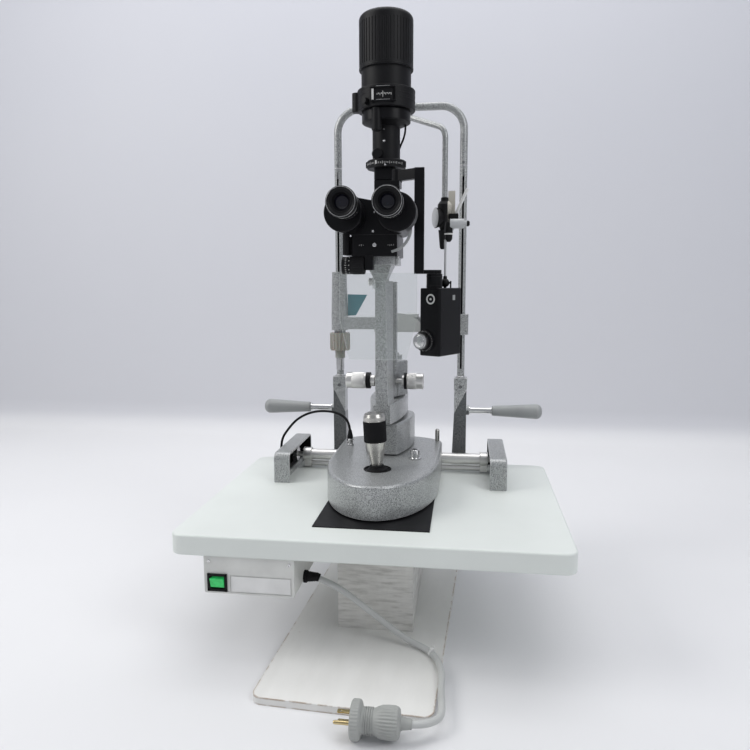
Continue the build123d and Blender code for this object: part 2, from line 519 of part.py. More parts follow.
# ---------------------------------------------------------------- illumination arm
def lamp_arm():
    """Hub on the swivel post, lower block, riser, narrow neck and the block under the tower."""
    low, high = LAMP_HUB_Z
    arm = rod_z(INSTR_X, SWIVEL_Y, (low, low + 24), 27)
    arm += block((INSTR_X - 20, INSTR_X + 20), (86, SWIVEL_Y), (low, low + 24))
    arm += rod_z(INSTR_X, SWIVEL_Y, (low + 23, high), 20)
    outline = [
        Line((INSTR_X - 12, 66), (INSTR_X + 12, 66)),
        ThreePointArc((INSTR_X + 12, 66), (INSTR_X + 20, 90), (INSTR_X + 33, 112)),
        Line((INSTR_X + 33, 112), (INSTR_X + 24, 122)), Line((INSTR_X + 24, 122), (INSTR_X - 20, 122)),
        Line((INSTR_X - 20, 122), (INSTR_X - 20, 84)), Line((INSTR_X - 20, 84), (INSTR_X - 12, 66)),
    ]
    foot = extrude(Pos(0, 0, low) * make_face(outline), TABLE_TOP + 208 - low)
    arm += fillet(foot.edges().group_by(Axis.Z)[-1], 2.5)
    riser = block((INSTR_X - 15, INSTR_X + 18), (70, 90), (low + 40, RISER_TOP))
    riser = fillet(riser.edges().filter_by(Axis.Z), 4)
    arm += riser
    arm += block((INSTR_X - 5, INSTR_X + 5), (62, 74), (RISER_TOP - 20, HEAD_BLOCK_Z[0] + 2))
    head = block((-24, 11), (60, 100), HEAD_BLOCK_Z)
    head = fillet(head.edges().filter_by(Axis.Z), 4)
    arm += head
    arm -= rod_z(INSTR_X, SWIVEL_Y, (low - 1, high + 1), POST_R + RUNNING)
    arm -= rod_z(INSTR_X, TOWER_Y + 6, (HEAD_BLOCK_Z[0] - 1, HEAD_BLOCK_Z[1] + 1), 7)
    return arm - rod_x((INSTR_X - 40, INSTR_X + 40), KNOB_Y, KNOB_Z, 4 + RUNNING)


def slit_knobs():
    """Shaft through the arm with a slit-width knob at each end."""
    shaft = rod_x((-70, 50), KNOB_Y, KNOB_Z, 4)
    left = rod_x((-34, -26.4), KNOB_Y, KNOB_Z, 10) + rod_x((-41, -34), KNOB_Y, KNOB_Z, KNOB_R)
    grip = rod_x((-76, -41), KNOB_Y, KNOB_Z, KNOB_R - 0.4)
    left += fillet(grip.edges(), 1.5)
    right = rod_x((20.6, 24), KNOB_Y, KNOB_Z, 10) + rod_x((24, 28.5), KNOB_Y, KNOB_Z, KNOB_R)
    grip = rod_x((28.5, 57), KNOB_Y, KNOB_Z, KNOB_R - 0.4)
    return shaft + left + right + fillet(grip.edges(), 1.5)


def lamp_mirror():
    """Narrow mirror that sends the beam to the eye, on its own stalk above the riser."""
    stalk = block((INSTR_X - 4, INSTR_X + 4), (80, 88), (RISER_TOP, RISER_TOP + 51))
    plate = Pos(INSTR_X, 92, RISER_TOP + 48) * Rot(45, 0, 0) * Box(16, 4, 44)
    return stalk + plate


# ---------------------------------------------------------------- lamp tower
def tower_flange():
    """Scale ring under the tower, with a lobe on each side."""
    ring = rod_z(INSTR_X, TOWER_Y, FLANGE_Z, 31.5)
    ring = chamfer(ring.edges(), 1)
    for side in (-1, 1):
        ring += rod_z(INSTR_X + side * 28.5, TOWER_Y - 6, (FLANGE_Z[0] + 2, FLANGE_Z[1] - 2), 4.5)
    return ring - rod_z(INSTR_X, TOWER_Y, (FLANGE_Z[0] - 1, FLANGE_Z[1] + 1), 14)


def tower_tube():
    """Slit tube with its flared head; the aperture ring runs on the sleeve above the flare."""
    tube = turned(INSTR_X, TOWER_Y, [
        (TUBE_R, TUBE_Z[0]), (TUBE_R, TUBE_Z[1]), (LOWER_RING_R - 1, LOWER_RING_Z[0] - 0.2),
        (26, LOWER_RING_Z[0] - 0.1), (26, LOWER_RING_Z[1] + 0.3)])
    return tube - rod_z(INSTR_X, TOWER_Y, (TUBE_Z[0] - 1, LOWER_RING_Z[1] + 1), 15)


def aperture_ring():
    ring = rod_z(INSTR_X, TOWER_Y, LOWER_RING_Z, LOWER_RING_R)
    ring = chamfer(ring.edges(), 0.8)
    return ring - rod_z(INSTR_X, TOWER_Y, (LOWER_RING_Z[0] - 1, LOWER_RING_Z[1] + 1), 26 + RUNNING)


def tower_drum():
    """Wide drum with a scale window at the front, a finger lobe and a filter stud at the left."""
    low, high = WIDE_RING_Z
    drum = rod_z(INSTR_X, TOWER_Y, (low, high), WIDE_RING_R)
    drum += rod_z(INSTR_X - WIDE_RING_R, TOWER_Y - 4, (low, high - 3), 8.5)
    drum = fillet(drum.edges().group_by(Axis.Z)[-1] + drum.edges().group_by(Axis.Z)[0], 1.5)
    drum -= rod_z(INSTR_X, TOWER_Y, (low - 1, high + 1), 22)
    window_y = (TOWER_Y - 52, TOWER_Y - WIDE_RING_R + 1.8)
    window = block((INSTR_X - 19, INSTR_X + 19), window_y, (low + 8, low + 26))
    drum -= window
    seat = rod_y(0, (-WIDE_RING_R - 1, -32), 0, 2 + RUNNING)
    return drum - Pos(INSTR_X, TOWER_Y, low + 9) * Rot(0, 0, STUD_TURN) * seat


def filter_stud():
    """Small turning stud low on the left front of the wide drum."""
    stud = rod_y(0, (-WIDE_RING_R - 7, -WIDE_RING_R - 0.5), 0, 5) + rod_y(0, (-WIDE_RING_R - 1, -36), 0, 2)
    return Pos(INSTR_X, TOWER_Y, WIDE_RING_Z[0] + 9) * Rot(0, 0, STUD_TURN) * stud


def tower_cap():
    """Ventilated lamp house: neck, finely ribbed wall and rounded shoulder over a hollow."""
    low, top = NECK_Z[0], CAP_Z[1]
    cap = rod_z(INSTR_X, TOWER_Y, (low, CAP_Z[0] + 1), NECK_R)
    shell = rod_z(INSTR_X, TOWER_Y, CAP_Z, CAP_R)
    cap += fillet(shell.edges().group_by(Axis.Z)[-1], 9)
    cap -= rod_z(INSTR_X, TOWER_Y, (low - 1, top - 12), 35)
    cap += rod_z(INSTR_X, TOWER_Y, (low, low + 4), 36) - rod_z(INSTR_X, TOWER_Y, (low - 1, low + 5), 22)
    ribs = 48
    for i in range(ribs):
        slot = block((CAP_R - 0.9, CAP_R + 2), (-0.9, 0.9), (CAP_Z[0] + 6, top - 14))
        cap -= Pos(INSTR_X, TOWER_Y, 0) * Rot(0, 0, i * 360 / ribs) * slot
    return cap + rod_z(INSTR_X, TOWER_Y, (top - 1, top + 3), 8)


def lamp_bulb():
    """Lamp socket across the neck with the bulb above it and the condenser below it."""
    z = NECK_Z[0] + 4
    bulb = rod_z(INSTR_X, TOWER_Y, (z, z + 8), 26) + rod_z(INSTR_X, TOWER_Y, (z + 8, z + 34), 9)
    bulb += Pos(INSTR_X, TOWER_Y, z + 42) * Sphere(13)
    return bulb + rod_z(INSTR_X, TOWER_Y, (z - 30, z), 18)


# ---------------------------------------------------------------- tonometer
def tonometer_bracket():
    """Swinging bracket: hub, bar, vertical bar and the foot that carries the tonometer."""
    px, py = TONO_PIVOT
    low, high = TONO_BAR_Z
    hub = rod_z(px, py, (low, high), 8)
    end = (53.5, 10.0)
    length = math.hypot(end[0] - px, end[1] - py)
    angle = math.degrees(math.atan2(end[1] - py, end[0] - px))
    bar = Pos(px, py, low) * Rot(0, 0, angle) * block((0, length), (-5, 5), (2, 18))
    upright = block((46, 61), (5, 15), (TABLE_TOP + 355, high - 2))
    foot = block((48, 77), (8, 20), (TABLE_TOP + 355, TABLE_TOP + 361))
    foot += rod_z(*TONO_SWIVEL, (TABLE_TOP + 355, TABLE_TOP + 361), 11)
    pin = rod_z(*TONO_SWIVEL, (TABLE_TOP + 338, TABLE_TOP + 361), 4)
    bracket = hub + bar + upright + foot + pin
    return bracket - rod_z(px, py, (low - 1, high + 1), 3 + RUNNING)


def tonometer_frame(shape):
    return Pos(TONO_CENTRE[0], TONO_CENTRE[1], 0) * Rot(0, 0, TONO_TURN) * shape


def tonometer_body():
    """Black housing with the swivel sleeve on top and the feeler's pivot well."""
    case = block((-TONO_HALF_L, TONO_HALF_L), (-TONO_HALF_W, TONO_HALF_W), TONO_Z)
    case = fillet(case.edges().filter_by(Axis.Z), 4)
    case = fillet(case.edges().group_by(Axis.Z)[-1], 2)
    case = fillet(case.edges().group_by(Axis.Z)[0], 2)
    case += rod_x((-TONO_HALF_L - 3, -TONO_HALF_L + 4), DIAL_SIDE - 2, DIAL_Z, DIAL_R)
    body = tonometer_frame(case)
    body += rod_z(*TONO_SWIVEL, (TONO_Z[1] - 3, TABLE_TOP + 354.8), 12.5)
    body -= rod_z(*TONO_SWIVEL, (TABLE_TOP + 337, TABLE_TOP + 356), 4 + RUNNING)
    body -= rod_z(*FEELER, (TONO_Z[1] - 14, TONO_Z[1] + 1), 6)
    for x in (FEELER[0] - 9, FEELER[0] + 9):
        lug = block((x - 1.2, x + 1.2), (FEELER[1] - 3, FEELER[1] + 3), (TONO_Z[1] - 1, TONO_Z[1] + 11))
        body += lug - rod_x((x - 2, x + 2), FEELER[1], TONO_Z[1] + 8, 1.5 + RUNNING)
    return body - tonometer_frame(rod_x((-TONO_HALF_L - 4, -16), DIAL_SIDE, DIAL_Z, 3 + RUNNING))


def tonometer_drum():
    face = -TONO_HALF_L - 3.3
    drum = rod_x((face - 10, face), DIAL_SIDE, DIAL_Z, 12)
    drum = chamfer(drum.edges(), 0.8)
    return tonometer_frame(drum + rod_x((face - 1, -17), DIAL_SIDE, DIAL_Z, 3))


def tonometer_feeler():
    """Feeler rod from the ball on its cross pin up to the holder of the measuring prism."""
    x, y = FEELER
    top = TABLE_TOP + 433
    feeler = rod_z(x, y, (TONO_Z[1] - 12, TONO_Z[1] + 4), 2.2) + Pos(x, y, TONO_Z[1] + 8) * Sphere(7)
    feeler += rod_x((x - 10, x + 10), y, TONO_Z[1] + 8, 1.5)
    feeler += rod_z(x, y, (TONO_Z[1] + 7, TABLE_TOP + 407), 1.8)
    bend = Pos(x, y, TABLE_TOP + 407) * Sphere(1.8)
    run = Vector(13, 0, 20)
    run_plane = Plane(origin=(x, y, TABLE_TOP + 407), z_dir=run)
    bend += run_plane * Pos(0, 0, run.length / 2) * Cylinder(1.8, run.length)
    holder = rod_x((x + 7, x + 29), y, top, 7.5) + rod_x((x + 29, x + 33), y, top, 4.5)
    return feeler + bend + holder


# ---------------------------------------------------------------- headrest
def upright_x(side):
    return HEAD_X + side * UPRIGHT_SPACING / 2


def upright(side):
    """Slotted tube that guides the chin rest."""
    x = upright_x(side)
    tube = rod_z(x, HEAD_Y, UPRIGHT_Z, UPRIGHT_R) - rod_z(
        x, HEAD_Y, (UPRIGHT_Z[0] - 1, UPRIGHT_Z[1] + 1), UPRIGHT_BORE_R)
    slot = (TABLE_TOP + 180, TABLE_TOP + 545)
    return tube - block((x - SLOT_W / 2, x + SLOT_W / 2), (HEAD_Y - 9, HEAD_Y), slot)


def hoop():
    """Bent tube over the forehead, plugged into both uprights."""
    left, right = upright_x(-1), upright_x(1)
    low = UPRIGHT_Z[1]
    route = [(left, HEAD_Y, low), (left, HEAD_Y, HOOP_Z - UPRIGHT_R), (right, HEAD_Y, HOOP_Z - UPRIGHT_R),
             (right, HEAD_Y, low)]
    path = FilletPolyline(*route, radius=HOOP_BEND_R)
    tube = sweep(Plane(origin=path @ 0, z_dir=path % 0) * Circle(UPRIGHT_R), path=path)
    for x in (left, right):
        tube += rod_z(x, HEAD_Y, (low - 18, low + 1), UPRIGHT_BORE_R)
    return tube


def headrest_leg(side):
    """Leg bolted to the rear edge of the tabletop, with the clamp cap for the upright."""
    x = upright_x(side)
    rear = TABLE_D / 2
    low, bend, top = UNDER, TABLE_TOP + 95, CLAMP_Z[0] + 8
    depth = HEAD_Y + 13.5 - rear
    leg = block((x - LEG_HALF_W, x + LEG_HALF_W), (rear, rear + depth), (bend, top))
    foot = Pos(x - side * 2.5, rear + depth / 2, low) * Rectangle(2 * LEG_HALF_W + 5, depth)
    leg += loft([foot, Pos(x, rear + depth / 2, bend) * Rectangle(2 * LEG_HALF_W, depth)])
    # tab round the upright, with a half-round lower end
    tab_y, middle = (HEAD_Y - 14.5, HEAD_Y + 12.0), CLAMP_Z[0] + 12.2
    cap = block((x - 12.2, x + 12.2), tab_y, (middle, CLAMP_Z[1])) + rod_y(x, tab_y, middle, 12.2)
    leg += cap
    outer = (x + 11, x + 16.5) if side > 0 else (x - 16.5, x - 11)
    leg += rod_x(outer, HEAD_Y, HANDLE_Z, 9)
    return leg - rod_z(x, HEAD_Y, (UPRIGHT_Z[0], CLAMP_Z[1] + 1), UPRIGHT_R)


def handle(side):
    """Steel rod with a grip that swells to its rounded outer end."""
    x, length = upright_x(side) + side * 16.5, 93.0
    rod = rod_x(sorted((x, x + side * 44)), HEAD_Y, HANDLE_Z, 6)
    grip = Cone(9.5, 14.5, length)
    grip = fillet(grip.edges().group_by(Axis.Z)[0], 3)
    grip = fillet(grip.edges().group_by(Axis.Z)[-1], 11)
    return rod + Pos(x + side * (43 + length / 2), HEAD_Y, HANDLE_Z) * Rot(0, side * 90, 0) * grip


def chin_carriage():
    """Crossbar that slides on both uprights: conical sleeve at the left, clamp block at the right."""
    left, right = upright_x(-1), upright_x(1)
    low, high = CHIN_Z
    sleeve = turned(left, HEAD_Y, [(11, CHIN_KNOB_Z[1] + 0.3), (11, low), (16, low), (16, high),
                                   (14, CHIN_SLEEVE_TOP)])
    bar = block((left, right), (HEAD_Y - 12, HEAD_Y + 8), (low + 2, low + 25))
    clamp = block((right - 13, right + 13), (HEAD_Y - 15, HEAD_Y + 15), (low - 7, high - 1))
    clamp = fillet(clamp.edges().filter_by(Axis.Z), 4)
    carriage = sleeve + bar + clamp
    for x in (left, right):
        carriage -= rod_z(x, HEAD_Y, (low - 20, CHIN_SLEEVE_TOP + 1), UPRIGHT_R + RUNNING)
    return carriage


def chin_cup():
    """Cup with an arched front panel, seated on the crossbar."""
    low, x = CHIN_Z[0], 2.0
    arch = Plane.XZ * (Pos(x, low - 2) * Ellipse(46, 35))
    arch = Pos(0, HEAD_Y - 12.2, 0) * extrude(arch, 10)
    panel = arch & block((x - 50, x + 50), (HEAD_Y - 30, HEAD_Y - 12), (low - 2, low + 40))
    cup = block((x - 36, x + 36), (HEAD_Y - 21, HEAD_Y + 24), (low + 25.2, low + 31))
    cup = fillet(cup.edges().filter_by(Axis.Z), 14)
    cup -= Pos(x, HEAD_Y + 4, low + 78) * Rot(90, 0, 0) * Cylinder(49.5, 70)
    return panel + cup


def chin_knob():
    """Ribbed nut under the left sleeve that raises and lowers the chin rest."""
    x = upright_x(-1)
    knob = rod_z(x, HEAD_Y, CHIN_KNOB_Z, 18.2)
    for i in range(18):
        rib = rod_z(18, 0, (CHIN_KNOB_Z[0] + 2, CHIN_KNOB_Z[1] - 2), 1.6)
        knob += Pos(x, HEAD_Y, 0) * Rot(0, 0, i * 20) * rib
    knob += rod_z(x, HEAD_Y, (CHIN_KNOB_Z[0] - 15, CHIN_KNOB_Z[0]), 9.5)
    return knob - rod_z(x, HEAD_Y, (CHIN_KNOB_Z[0] - 20, CHIN_KNOB_Z[1] + 1), UPRIGHT_R + RUNNING)


def cover_flap():
    """Thin coloured plate on the inner side of the left sleeve."""
    points = [(-99.5, TABLE_TOP + 320), (-60, TABLE_TOP + 319), (-82, TABLE_TOP + 280),
              (-99.5, TABLE_TOP + 279)]
    face = make_face(Polyline(*points, close=True))
    flap = Pos(0, HEAD_Y + 1.5, 0) * extrude(Plane.XZ * face, 3)
    return flap - rod_z(upright_x(-1), HEAD_Y, (CHIN_Z[0], CHIN_SLEEVE_TOP), 16.3)


# ---------------------------------------------------------------- fixation lamp
def fixation_clamp():
    """Clamp at the middle of the hoop with the pivot pin below it."""
    tube_z = HOOP_Z - UPRIGHT_R
    clamp = rod_x((-8, 13), HEAD_Y, tube_z, 10.5)
    clamp += rod_z(HEAD_X, HEAD_Y, (TABLE_TOP + 631, tube_z - 9), 4)
    return clamp - rod_x((-9, 14), HEAD_Y, tube_z, UPRIGHT_R)


def fixation_arm():
    """Swinging arm: pivot head, sloping tube and the vertical tube for the lamp."""
    x, y = LAMP_ARM_END
    high, elbow = TABLE_TOP + 640, TABLE_TOP + 603.5
    head = rod_z(HEAD_X, HEAD_Y, (high - 6, high + 6), 9.5)
    route = [(HEAD_X, HEAD_Y, high), (20, HEAD_Y - 9, high - 3), (x, y, elbow), (x, y, TABLE_TOP + 482)]
    path = FilletPolyline(*route, radius=[12, 23])
    tube = sweep(Plane(origin=path @ 0, z_dir=path % 0) * Circle(5), path=path)
    arm = head + tube + rod_z(x, y, (TABLE_TOP + 470, TABLE_TOP + 482.5), 3)
    return arm - rod_z(HEAD_X, HEAD_Y, (high - 9, high + 10), 4 + RUNNING)


def fixation_lamp():
    """Lamp head on the end of the arm, with its round mirror and the bracket plate."""
    x, y = LAMP_ARM_END
    head_profile = [(7, TABLE_TOP + 431), (12, TABLE_TOP + 445), (12, TABLE_TOP + 476), (8, TABLE_TOP + 481.5)]
    head = turned(x, y, head_profile)
    head += rod_x((x - 15, x), y, TABLE_TOP + 456, 11)
    head += block((x + 4, x + 21), (y + 6, y + 12), (TABLE_TOP + 455, TABLE_TOP + 461))
    head += block((x + 6, x + 18), (y + 8, y + 11), (TABLE_TOP + 458, TABLE_TOP + 500))
    return head - rod_z(x, y, (TABLE_TOP + 469, TABLE_TOP + 483), 3 + RUNNING)


# ---------------------------------------------------------------- write every piece
PIECES = {
    "base_board": base_board(), "support_block": support_block(), "tabletop": tabletop(),
    "psu_case": psu_case(), "psu_transformer": psu_transformer(),
    "power_rocker": power_rocker(), "mains_gland": mains_gland(),
    "mains_cord": tube_along(CORD_ROUTE, CORD_D), "mains_plug": mains_plug(), "glide_plate": glide_plate(),
    "rail_cover_left": rail_cover(-1), "rail_cover_right": rail_cover(1),
    "gear_racks": Compound([gear_rack(-1), gear_rack(1)]), "axle": axle(),
    "pinions": Compound([pinion(-1), pinion(1)]), "carriage_frame": carriage_frame(),
    "base_casting": base_casting(), "base_sockets": Compound(list(base_sockets())),
    "lock_screw": lock_screw(), "lamp_cable_front": tube_along(CABLE_FRONT_ROUTE, CABLE_D),
    "lamp_cable_rear": tube_along(CABLE_REAR_ROUTE, CABLE_D), "joystick_gimbal": joystick_gimbal(),
    "joystick_stick": joystick_stick(), "joystick_grip": joystick_grip(),
    "lift_pedestal": lift_pedestal(), "microscope_arm": microscope_arm(),
    "microscope_body": microscope_body(), "breath_shield": breath_shield(),
    "shield_screw": shield_screw(), "magnification_knob": magnification_knob(),
    "prism_housing_left": prism_housing(-1), "prism_housing_right": prism_housing(1),
    "eyepiece_left": eyepiece(-1), "eyepiece_right": eyepiece(1), "lamp_arm": lamp_arm(),
    "slit_knobs": slit_knobs(), "lamp_mirror": lamp_mirror(), "tower_flange": tower_flange(),
    "tower_tube": tower_tube(), "aperture_ring": aperture_ring(), "tower_drum": tower_drum(),
    "filter_stud": filter_stud(), "tower_cap": tower_cap(), "lamp_bulb": lamp_bulb(),
    "tonometer_bracket": tonometer_bracket(), "tonometer_body": tonometer_body(),
    "tonometer_drum": tonometer_drum(), "tonometer_feeler": tonometer_feeler(),
    "upright_left": upright(-1), "upright_right": upright(1), "hoop": hoop(),
    "headrest_legs": Compound([headrest_leg(-1), headrest_leg(1)]),
    "handles": Compound([handle(-1), handle(1)]), "chin_carriage": chin_carriage(),
    "chin_cup": chin_cup(), "chin_knob": chin_knob(), "cover_flap": cover_flap(),
    "fixation_clamp": fixation_clamp(), "fixation_arm": fixation_arm(), "fixation_lamp": fixation_lamp(),
}
for name, shape in PIECES.items():
    solids = shape.solids()
    if len(solids) != 1:
        print(name, "has", len(solids), "solids")
    save(name, shape)
print(len(PIECES), "pieces")
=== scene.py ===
import bpy
import bmesh
import math
from mathutils import Matrix, Vector


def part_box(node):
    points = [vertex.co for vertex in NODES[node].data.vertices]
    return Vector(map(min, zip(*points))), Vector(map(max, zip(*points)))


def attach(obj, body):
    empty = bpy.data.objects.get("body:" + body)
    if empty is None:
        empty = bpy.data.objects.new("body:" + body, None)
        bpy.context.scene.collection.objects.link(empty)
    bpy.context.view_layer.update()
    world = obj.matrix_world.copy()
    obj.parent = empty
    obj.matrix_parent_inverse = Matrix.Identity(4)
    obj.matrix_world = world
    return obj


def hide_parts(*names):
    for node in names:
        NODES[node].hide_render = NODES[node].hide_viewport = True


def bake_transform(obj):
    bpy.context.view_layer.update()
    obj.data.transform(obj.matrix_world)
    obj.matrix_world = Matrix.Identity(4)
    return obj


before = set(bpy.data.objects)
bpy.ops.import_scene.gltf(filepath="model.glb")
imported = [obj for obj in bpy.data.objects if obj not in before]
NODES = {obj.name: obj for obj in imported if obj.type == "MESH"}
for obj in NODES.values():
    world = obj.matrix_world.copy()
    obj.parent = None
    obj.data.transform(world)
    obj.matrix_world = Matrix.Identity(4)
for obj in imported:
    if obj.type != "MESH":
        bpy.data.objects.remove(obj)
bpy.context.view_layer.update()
MM = 0.001


# ---------- places, from the frame
def low(node):
    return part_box(node)[0]


def high(node):
    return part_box(node)[1]


def middle(node):
    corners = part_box(node)
    return (corners[0] + corners[1]) / 2


TABLE_TOP = high("tabletop").z
INSTR_X = middle("lift_pedestal").x
TOWER = middle("tower_cap")
HEAD_Y = middle("upright_left").y
T = TABLE_TOP / MM
STICK = Matrix.Translation((INSTR_X, -0.040, TABLE_TOP + 0.040)) @ Matrix.Rotation(math.radians(-3), 4, "Y")


# ---------- camera
def make_camera():
    """Eye level a little above the tabletop, right of the middle, looking slightly down and left."""
    data = bpy.data.cameras.new("camera")
    data.sensor_width = 36.0
    data.lens = 31.81
    data.clip_start = 0.05
    camera = bpy.data.objects.new("camera", data)
    bpy.context.scene.collection.objects.link(camera)
    turn = Matrix.Rotation(math.radians(7.891), 4, "Z")
    tilt = Matrix.Rotation(math.radians(90 - 7.936), 4, "X")
    roll = Matrix.Rotation(math.radians(-0.21), 4, "Z")
    camera.matrix_world = Matrix.Translation((0.12833, -1.0337, 0.52675)) @ turn @ tilt @ roll
    bpy.context.scene.camera = camera


# ---------- material helpers
class Material:
    """A node tree with short calls for the nodes that the materials here share."""

    def __init__(self, name):
        self.material = bpy.data.materials.new(name)
        self.material.use_nodes = True
        self.tree = self.material.node_tree
        self.shader = self.tree.nodes["Principled BSDF"]
        self.out = self.tree.nodes["Material Output"]
        self.place = self.tree.nodes.new("ShaderNodeTexCoord").outputs["Object"]

    def node(self, kind, **values):
        made = self.tree.nodes.new(kind)
        for key, value in values.items():
            if key in made.inputs.keys():
                made.inputs[key].default_value = value
            else:
                setattr(made, key, value)
        return made

    def link(self, source, target):
        self.tree.links.new(source, target)

    def set(self, **values):
        for key, value in values.items():
            self.shader.inputs[key.replace("_", " ")].default_value = value

    def noise(self, scale, detail=4.0, roughness=0.55, stretch=None):
        made = self.node("ShaderNodeTexNoise", Scale=scale, Detail=detail, Roughness=roughness)
        self.link(self.stretched(stretch), made.inputs["Vector"])
        return made.outputs["Fac"]

    def voronoi(self, scale, feature="F1", stretch=None):
        made = self.node("ShaderNodeTexVoronoi", Scale=scale, feature=feature)
        self.link(self.stretched(stretch), made.inputs["Vector"])
        return made.outputs["Distance"]

    def stretched(self, stretch):
        if stretch is None:
            return self.place
        mapping = self.node("ShaderNodeMapping")
        mapping.inputs["Scale"].default_value = stretch
        self.link(self.place, mapping.inputs["Vector"])
        return mapping.outputs["Vector"]

    def ramp(self, source, stops):
        made = self.node("ShaderNodeValToRGB")
        points = made.color_ramp.elements
        while len(points) < len(stops):
            points.new(0.5)
        for point, (place, value) in zip(points, stops):
            point.position = place
            shade = value if isinstance(value, (tuple, list)) else (value, value, value)
            point.color = (*shade[:3], 1.0)
        self.link(source, made.inputs["Fac"])
        return made.outputs["Color"]

    def mix(self, factor, first, second, blend="MIX"):
        made = self.node("ShaderNodeMix", data_type="RGBA", blend_type=blend)
        for socket, value in ((made.inputs[0], factor), (made.inputs[6], first), (made.inputs[7], second)):
            if isinstance(value, bpy.types.NodeSocket):
                self.link(value, socket)
            elif isinstance(value, (tuple, list)):
                socket.default_value = (*value[:3], 1.0)
            else:
                socket.default_value = value
        return made.outputs[2]

    def math(self, operation, first, second=0.5):
        made = self.node("ShaderNodeMath", operation=operation)
        for socket, value in zip(made.inputs, (first, second)):
            if isinstance(value, bpy.types.NodeSocket):
                self.link(value, socket)
            else:
                socket.default_value = value
        return made.outputs[0]

    def color(self, source):
        self.link(source, self.shader.inputs["Base Color"])

    def rough(self, source, lowest, highest):
        made = self.node("ShaderNodeMapRange")
        self.link(source, made.inputs["Value"])
        made.inputs["To Min"].default_value = lowest
        made.inputs["To Max"].default_value = highest
        self.link(made.outputs["Result"], self.shader.inputs["Roughness"])

    def surface(self, height=None, strength=0.3, distance=0.0004, edge=0.0006):
        """Softened edges, with an optional relief on top."""
        soft = self.node("ShaderNodeBevel", samples=4)
        soft.inputs["Radius"].default_value = edge
        normal = soft.outputs["Normal"]
        if height is not None:
            bump = self.node("ShaderNodeBump", Strength=strength, Distance=distance)
            self.link(height, bump.inputs["Height"])
            self.link(normal, bump.inputs["Normal"])
            normal = bump.outputs["Normal"]
        self.link(normal, self.shader.inputs["Normal"])

    def edge_mask(self, radius, start, full):
        """1 along the part's outer edges and 0 on its faces."""
        soft = self.node("ShaderNodeBevel", samples=6)
        soft.inputs["Radius"].default_value = radius
        flat = self.node("ShaderNodeNewGeometry").outputs["Normal"]
        dot = self.node("ShaderNodeVectorMath", operation="DOT_PRODUCT")
        self.link(soft.outputs["Normal"], dot.inputs[0])
        self.link(flat, dot.inputs[1])
        made = self.node("ShaderNodeMapRange")
        self.link(dot.outputs["Value"], made.inputs["Value"])
        made.inputs["From Min"].default_value = start
        made.inputs["From Max"].default_value = full
        return made.outputs["Result"]


# ---------- materials
def hammertone(name="hammertone", base=(0.34, 0.35, 0.35), edge_highlight=True):
    """Silver-grey hammered paint: dark seams round bright flakes, with slightly brighter edges as a painted
    highlight.
    """
    m = Material(name)
    cells = m.voronoi(620)
    grain = m.noise(900, 2)
    field = m.noise(16, 3)
    dark, light = tuple(c * 0.48 for c in base), tuple(c * 1.7 for c in base)
    shade = m.ramp(cells, [(0.10, light), (0.36, base), (0.62, dark)])
    shade = m.mix(m.ramp(grain, [(0.45, 0.0), (0.62, 0.75)]), shade, tuple(c * 1.9 for c in base))
    shade = m.mix(m.ramp(field, [(0.3, 0.0), (0.75, 0.25)]), shade, tuple(c * 0.75 for c in base))
    # Painted highlight: the edges are lightened towards a pale grey.
    if edge_highlight:
        edges = m.edge_mask(0.0016, 0.985, 0.84)
        shade = m.mix(m.math("MULTIPLY", edges, 0.6), shade, tuple(min(0.85, c * 3.0) for c in base))
    m.color(shade)
    m.rough(grain, 0.24, 0.42)
    m.set(Metallic=0.35)
    m.shader.inputs["Coat Weight"].default_value = 0.4
    m.shader.inputs["Coat Roughness"].default_value = 0.16
    relief = m.math("SUBTRACT", 1.0, cells)
    m.surface(relief, 0.45, 0.0003, 0.0008)
    return m.material


def laminate(name="laminate", base=(0.74, 0.775, 0.745)):
    """White tabletop laminate: fine orange peel and faint mottling."""
    m = Material(name)
    mottle = m.noise(9, 5)
    peel = m.noise(700, 2)
    specks = m.ramp(m.noise(300, 2), [(0.70, 0.0), (0.78, 0.10)])
    shade = m.mix(m.ramp(mottle, [(0.35, 0.0), (0.7, 1.0)]), base, tuple(c * 0.965 for c in base))
    m.color(m.mix(specks, shade, (0.52, 0.52, 0.50)))
    m.rough(mottle, 0.34, 0.46)
    m.surface(peel, 0.12, 0.0002, 0.0015)
    return m.material


def painted_board(name="painted_board"):
    """White-painted board: scuffs, pinholes and brown wood where the edges are knocked."""
    m = Material(name)
    streak = m.noise(30, 6, stretch=(1, 0.25, 1))
    spots = m.noise(120, 4)
    shade = m.mix(m.ramp(streak, [(0.35, 0.0), (0.75, 0.5)]), (0.80, 0.795, 0.775), (0.66, 0.655, 0.63))
    dirt = m.ramp(spots, [(0.72, 0.0), (0.80, 0.55)])
    shade = m.mix(dirt, shade, (0.42, 0.36, 0.29))
    edges = m.edge_mask(0.0045, 0.99, 0.80)
    ragged = m.math("MULTIPLY", edges, m.ramp(m.noise(55, 5), [(0.42, 0.0), (0.56, 1.0)]))
    m.color(m.mix(ragged, shade, (0.30, 0.19, 0.11)))
    m.rough(spots, 0.45, 0.7)
    m.surface(streak, 0.25, 0.0004, 0.001)
    return m.material


def painted_block(name="painted_block"):
    """Support block: thin streaky white paint over grain that runs across it."""
    m = Material(name)
    grain = m.noise(60, 6, stretch=(0.5, 0.5, 3.2))
    drag = m.noise(26, 5, stretch=(2.4, 2.4, 0.5))
    dark, middling, pale = (0.50, 0.49, 0.46), (0.70, 0.69, 0.66), (0.80, 0.79, 0.76)
    shade = m.ramp(grain, [(0.30, dark), (0.50, middling), (0.72, pale)])
    shade = m.mix(m.ramp(drag, [(0.45, 0.0), (0.8, 0.4)]), shade, (0.56, 0.55, 0.51))
    m.color(shade)
    m.rough(grain, 0.5, 0.75)
    m.surface(grain, 0.5, 0.0008, 0.001)
    return m.material


